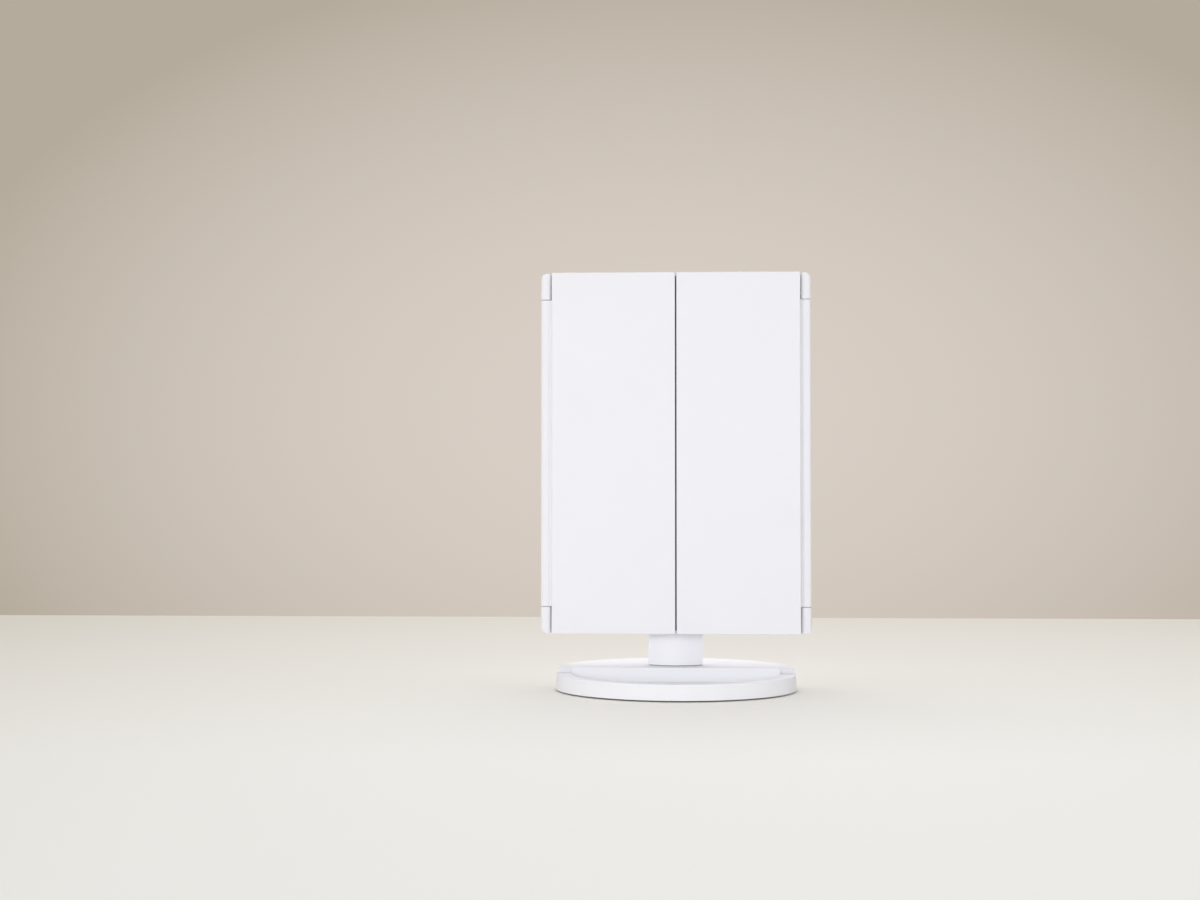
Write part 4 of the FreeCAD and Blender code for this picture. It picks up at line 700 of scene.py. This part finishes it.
def floor():
    """A pale table top with painted shade: it darkens a little to the back and to both sides, and
    fades far off into the tone of the room. Seen straight, it is a touch lighter than its light
    makes it."""
    sheet = rectangle("floor", (-FLOOR_HALF, -FLOOR_HALF, 0.0), (2 * FLOOR_HALF, 0, 0),
                      (0, 2 * FLOOR_HALF, 0))
    finish = Finish("table top", Roughness=TABLE_ROUGHNESS, Specular_IOR_Level=TABLE_SHEEN)
    tree = finish.tree
    x, y, _ = finish.axes()
    far = blend(tree, spread(tree, y, *TABLE_DEPTH), TABLE_TONE, TABLE_FAR_SHADED)
    aside = spread(tree, squared(tree, x, TABLE_MIDDLE, TABLE_REACH), 0.0, 1.0)
    grain = noise(tree, finish.place, FLECK_SCALE, detail=3.0, rough=0.6)
    fleck = spread(tree, grain, *WIDE_MIDDLE, *FLECK_SHARE)
    top = blend(tree, plus(tree, aside, fleck), far, TABLE_SIDE_SHADED)
    finish.link("Base Color", top)
    finish.link("Emission Color", top)
    straight = add(tree, "LightPath").outputs["Is Camera Ray"]
    finish.link("Emission Strength", times(tree, straight, TABLE_LIFT))
    reach = add(tree, "VectorMath", {0: finish.place}, operation="LENGTH").outputs["Value"]
    glow = add(tree, "Emission", {"Color": TABLE_GLOW, "Strength": 1.0})
    mixed_surface(tree, spread(tree, reach, *FADE), finish.shader.outputs["BSDF"],
                  glow.outputs[0])
    sheet.data.materials.append(finish.material)
    return sheet


def wall():
    """A wall behind the table with a painted pool of light: brightest behind the mirror, dimmer
    to its edges. It shines in its own tone, casts no light or shadow on the object, and is
    clear from behind."""
    sheet = rectangle("wall", (-FLOOR_HALF, WALL_Y, 0.0), (2 * FLOOR_HALF, 0, 0),
                      (0, 0, WALL_TOP))
    sheet.visible_diffuse = sheet.visible_shadow = False
    finish = Finish("painted wall")
    tree = finish.tree
    x, _, z = finish.axes()
    away = plus(tree, squared(tree, x, WALL_BRIGHT[0], WALL_REACH[0]),
                squared(tree, z, WALL_BRIGHT[1], WALL_REACH[1]))
    paint = blend(tree, spread(tree, away, 0.0, WALL_LIMIT, 0.0, WALL_LIMIT), WALL_TONE, WALL_DIM)
    glow = add(tree, "Emission", {"Color": paint, "Strength": 1.0})
    clear = add(tree, "BsdfTransparent")
    behind = add(tree, "NewGeometry").outputs["Backfacing"]
    mixed_surface(tree, behind, glow.outputs[0], clear.outputs[0])
    tree.nodes.remove(finish.shader)
    sheet.data.materials.append(finish.material)


table_top = floor()
wall()


# ---------------------------------------------------------------- light
SKY_TONE, SKY_LEVEL = (0.99, 0.99, 1.0, 1), 0.60
ROOM_TONE, ROOM_FAR_TONE = tone(164, 157, 148), tone(210, 202, 192)
CEILING_TONE = tone(232, 230, 226)
TOWARDS_FRONT = (0.2, -0.9)         # Y of the directions where ROOM_TONE begins and is full
TOWARDS_TOP = (0.1, 1.0)            # Z of the directions where CEILING_TONE begins and is full
LAMP_AIM = (0.0, 0.0, 0.12)         # the middle of the mirror


def studio_world():
    """Plain soft light from all round. Straight, mirrored and refracted views of it show a
    room: the wall's tone, lighter overhead and, in a mirror, darker on the camera's side."""
    world = bpy.data.worlds.new("studio")
    scene.world = world
    world.use_nodes = True
    tree = world.node_tree
    sky = tree.nodes["Background"]
    sky.inputs["Color"].default_value = SKY_TONE
    sky.inputs["Strength"].default_value = SKY_LEVEL
    way = add(tree, "SeparateXYZ", {0: add(tree, "TexCoord").outputs["Generated"]}).outputs
    path = add(tree, "LightPath").outputs
    ahead = times(tree, path["Is Glossy Ray"], spread(tree, way["Y"], *TOWARDS_FRONT))
    side = blend(tree, ahead, ROOM_FAR_TONE, ROOM_TONE)
    room = blend(tree, spread(tree, way["Z"], *TOWARDS_TOP), side, CEILING_TONE)
    shown = add(tree, "Background", {"Color": room, "Strength": 1.0})
    seen = maths(tree, "MAXIMUM", path["Is Camera Ray"],
                 maths(tree, "MAXIMUM", path["Is Glossy Ray"], path["Is Transmission Ray"]))
    mixed_surface(tree, seen, sky.outputs[0], shown.outputs[0], output="World Output")


def softbox(name, place, width, height, power, colour=(1, 1, 1)):
    """A rectangular area lamp at place, turned to face the middle of the mirror."""
    lamp = bpy.data.lights.new(name, "AREA")
    lamp.shape = "RECTANGLE"
    lamp.size, lamp.size_y = width, height
    lamp.energy, lamp.color = power, colour
    made = bpy.data.objects.new(name, lamp)
    scene.collection.objects.link(made)
    x, y, z = np.array(LAMP_AIM) - np.array(place)
    made.location = place
    made.rotation_euler = (math.atan2(math.hypot(x, y), -z), 0, math.atan2(y, x) - QUARTER)
    return made


def leave_out(lamp, piece):
    """Keeps a lamp's light off one piece."""
    left_out = bpy.data.collections.new(lamp.name + " leaves out")
    left_out.objects.link(piece)
    left_out.collection_objects[0].light_linking.link_state = "EXCLUDE"
    lamp.light_linking.receiver_collection = left_out


studio_world()
front_lamp = softbox("front", (-0.35, -1.9, 0.36), width=1.8, height=0.6, power=14.9,
                     colour=(0.95, 0.965, 1.0))
softbox("top", (-0.2, 0.75, 3.2), width=3.2, height=3.2, power=38.5, colour=(0.99, 0.99, 1.0))
back_lamp = softbox("back", (0.1, 1.6, 1.0), width=1.6, height=1.0, power=12.0)
for lamp in (front_lamp, back_lamp):
    leave_out(lamp, table_top)
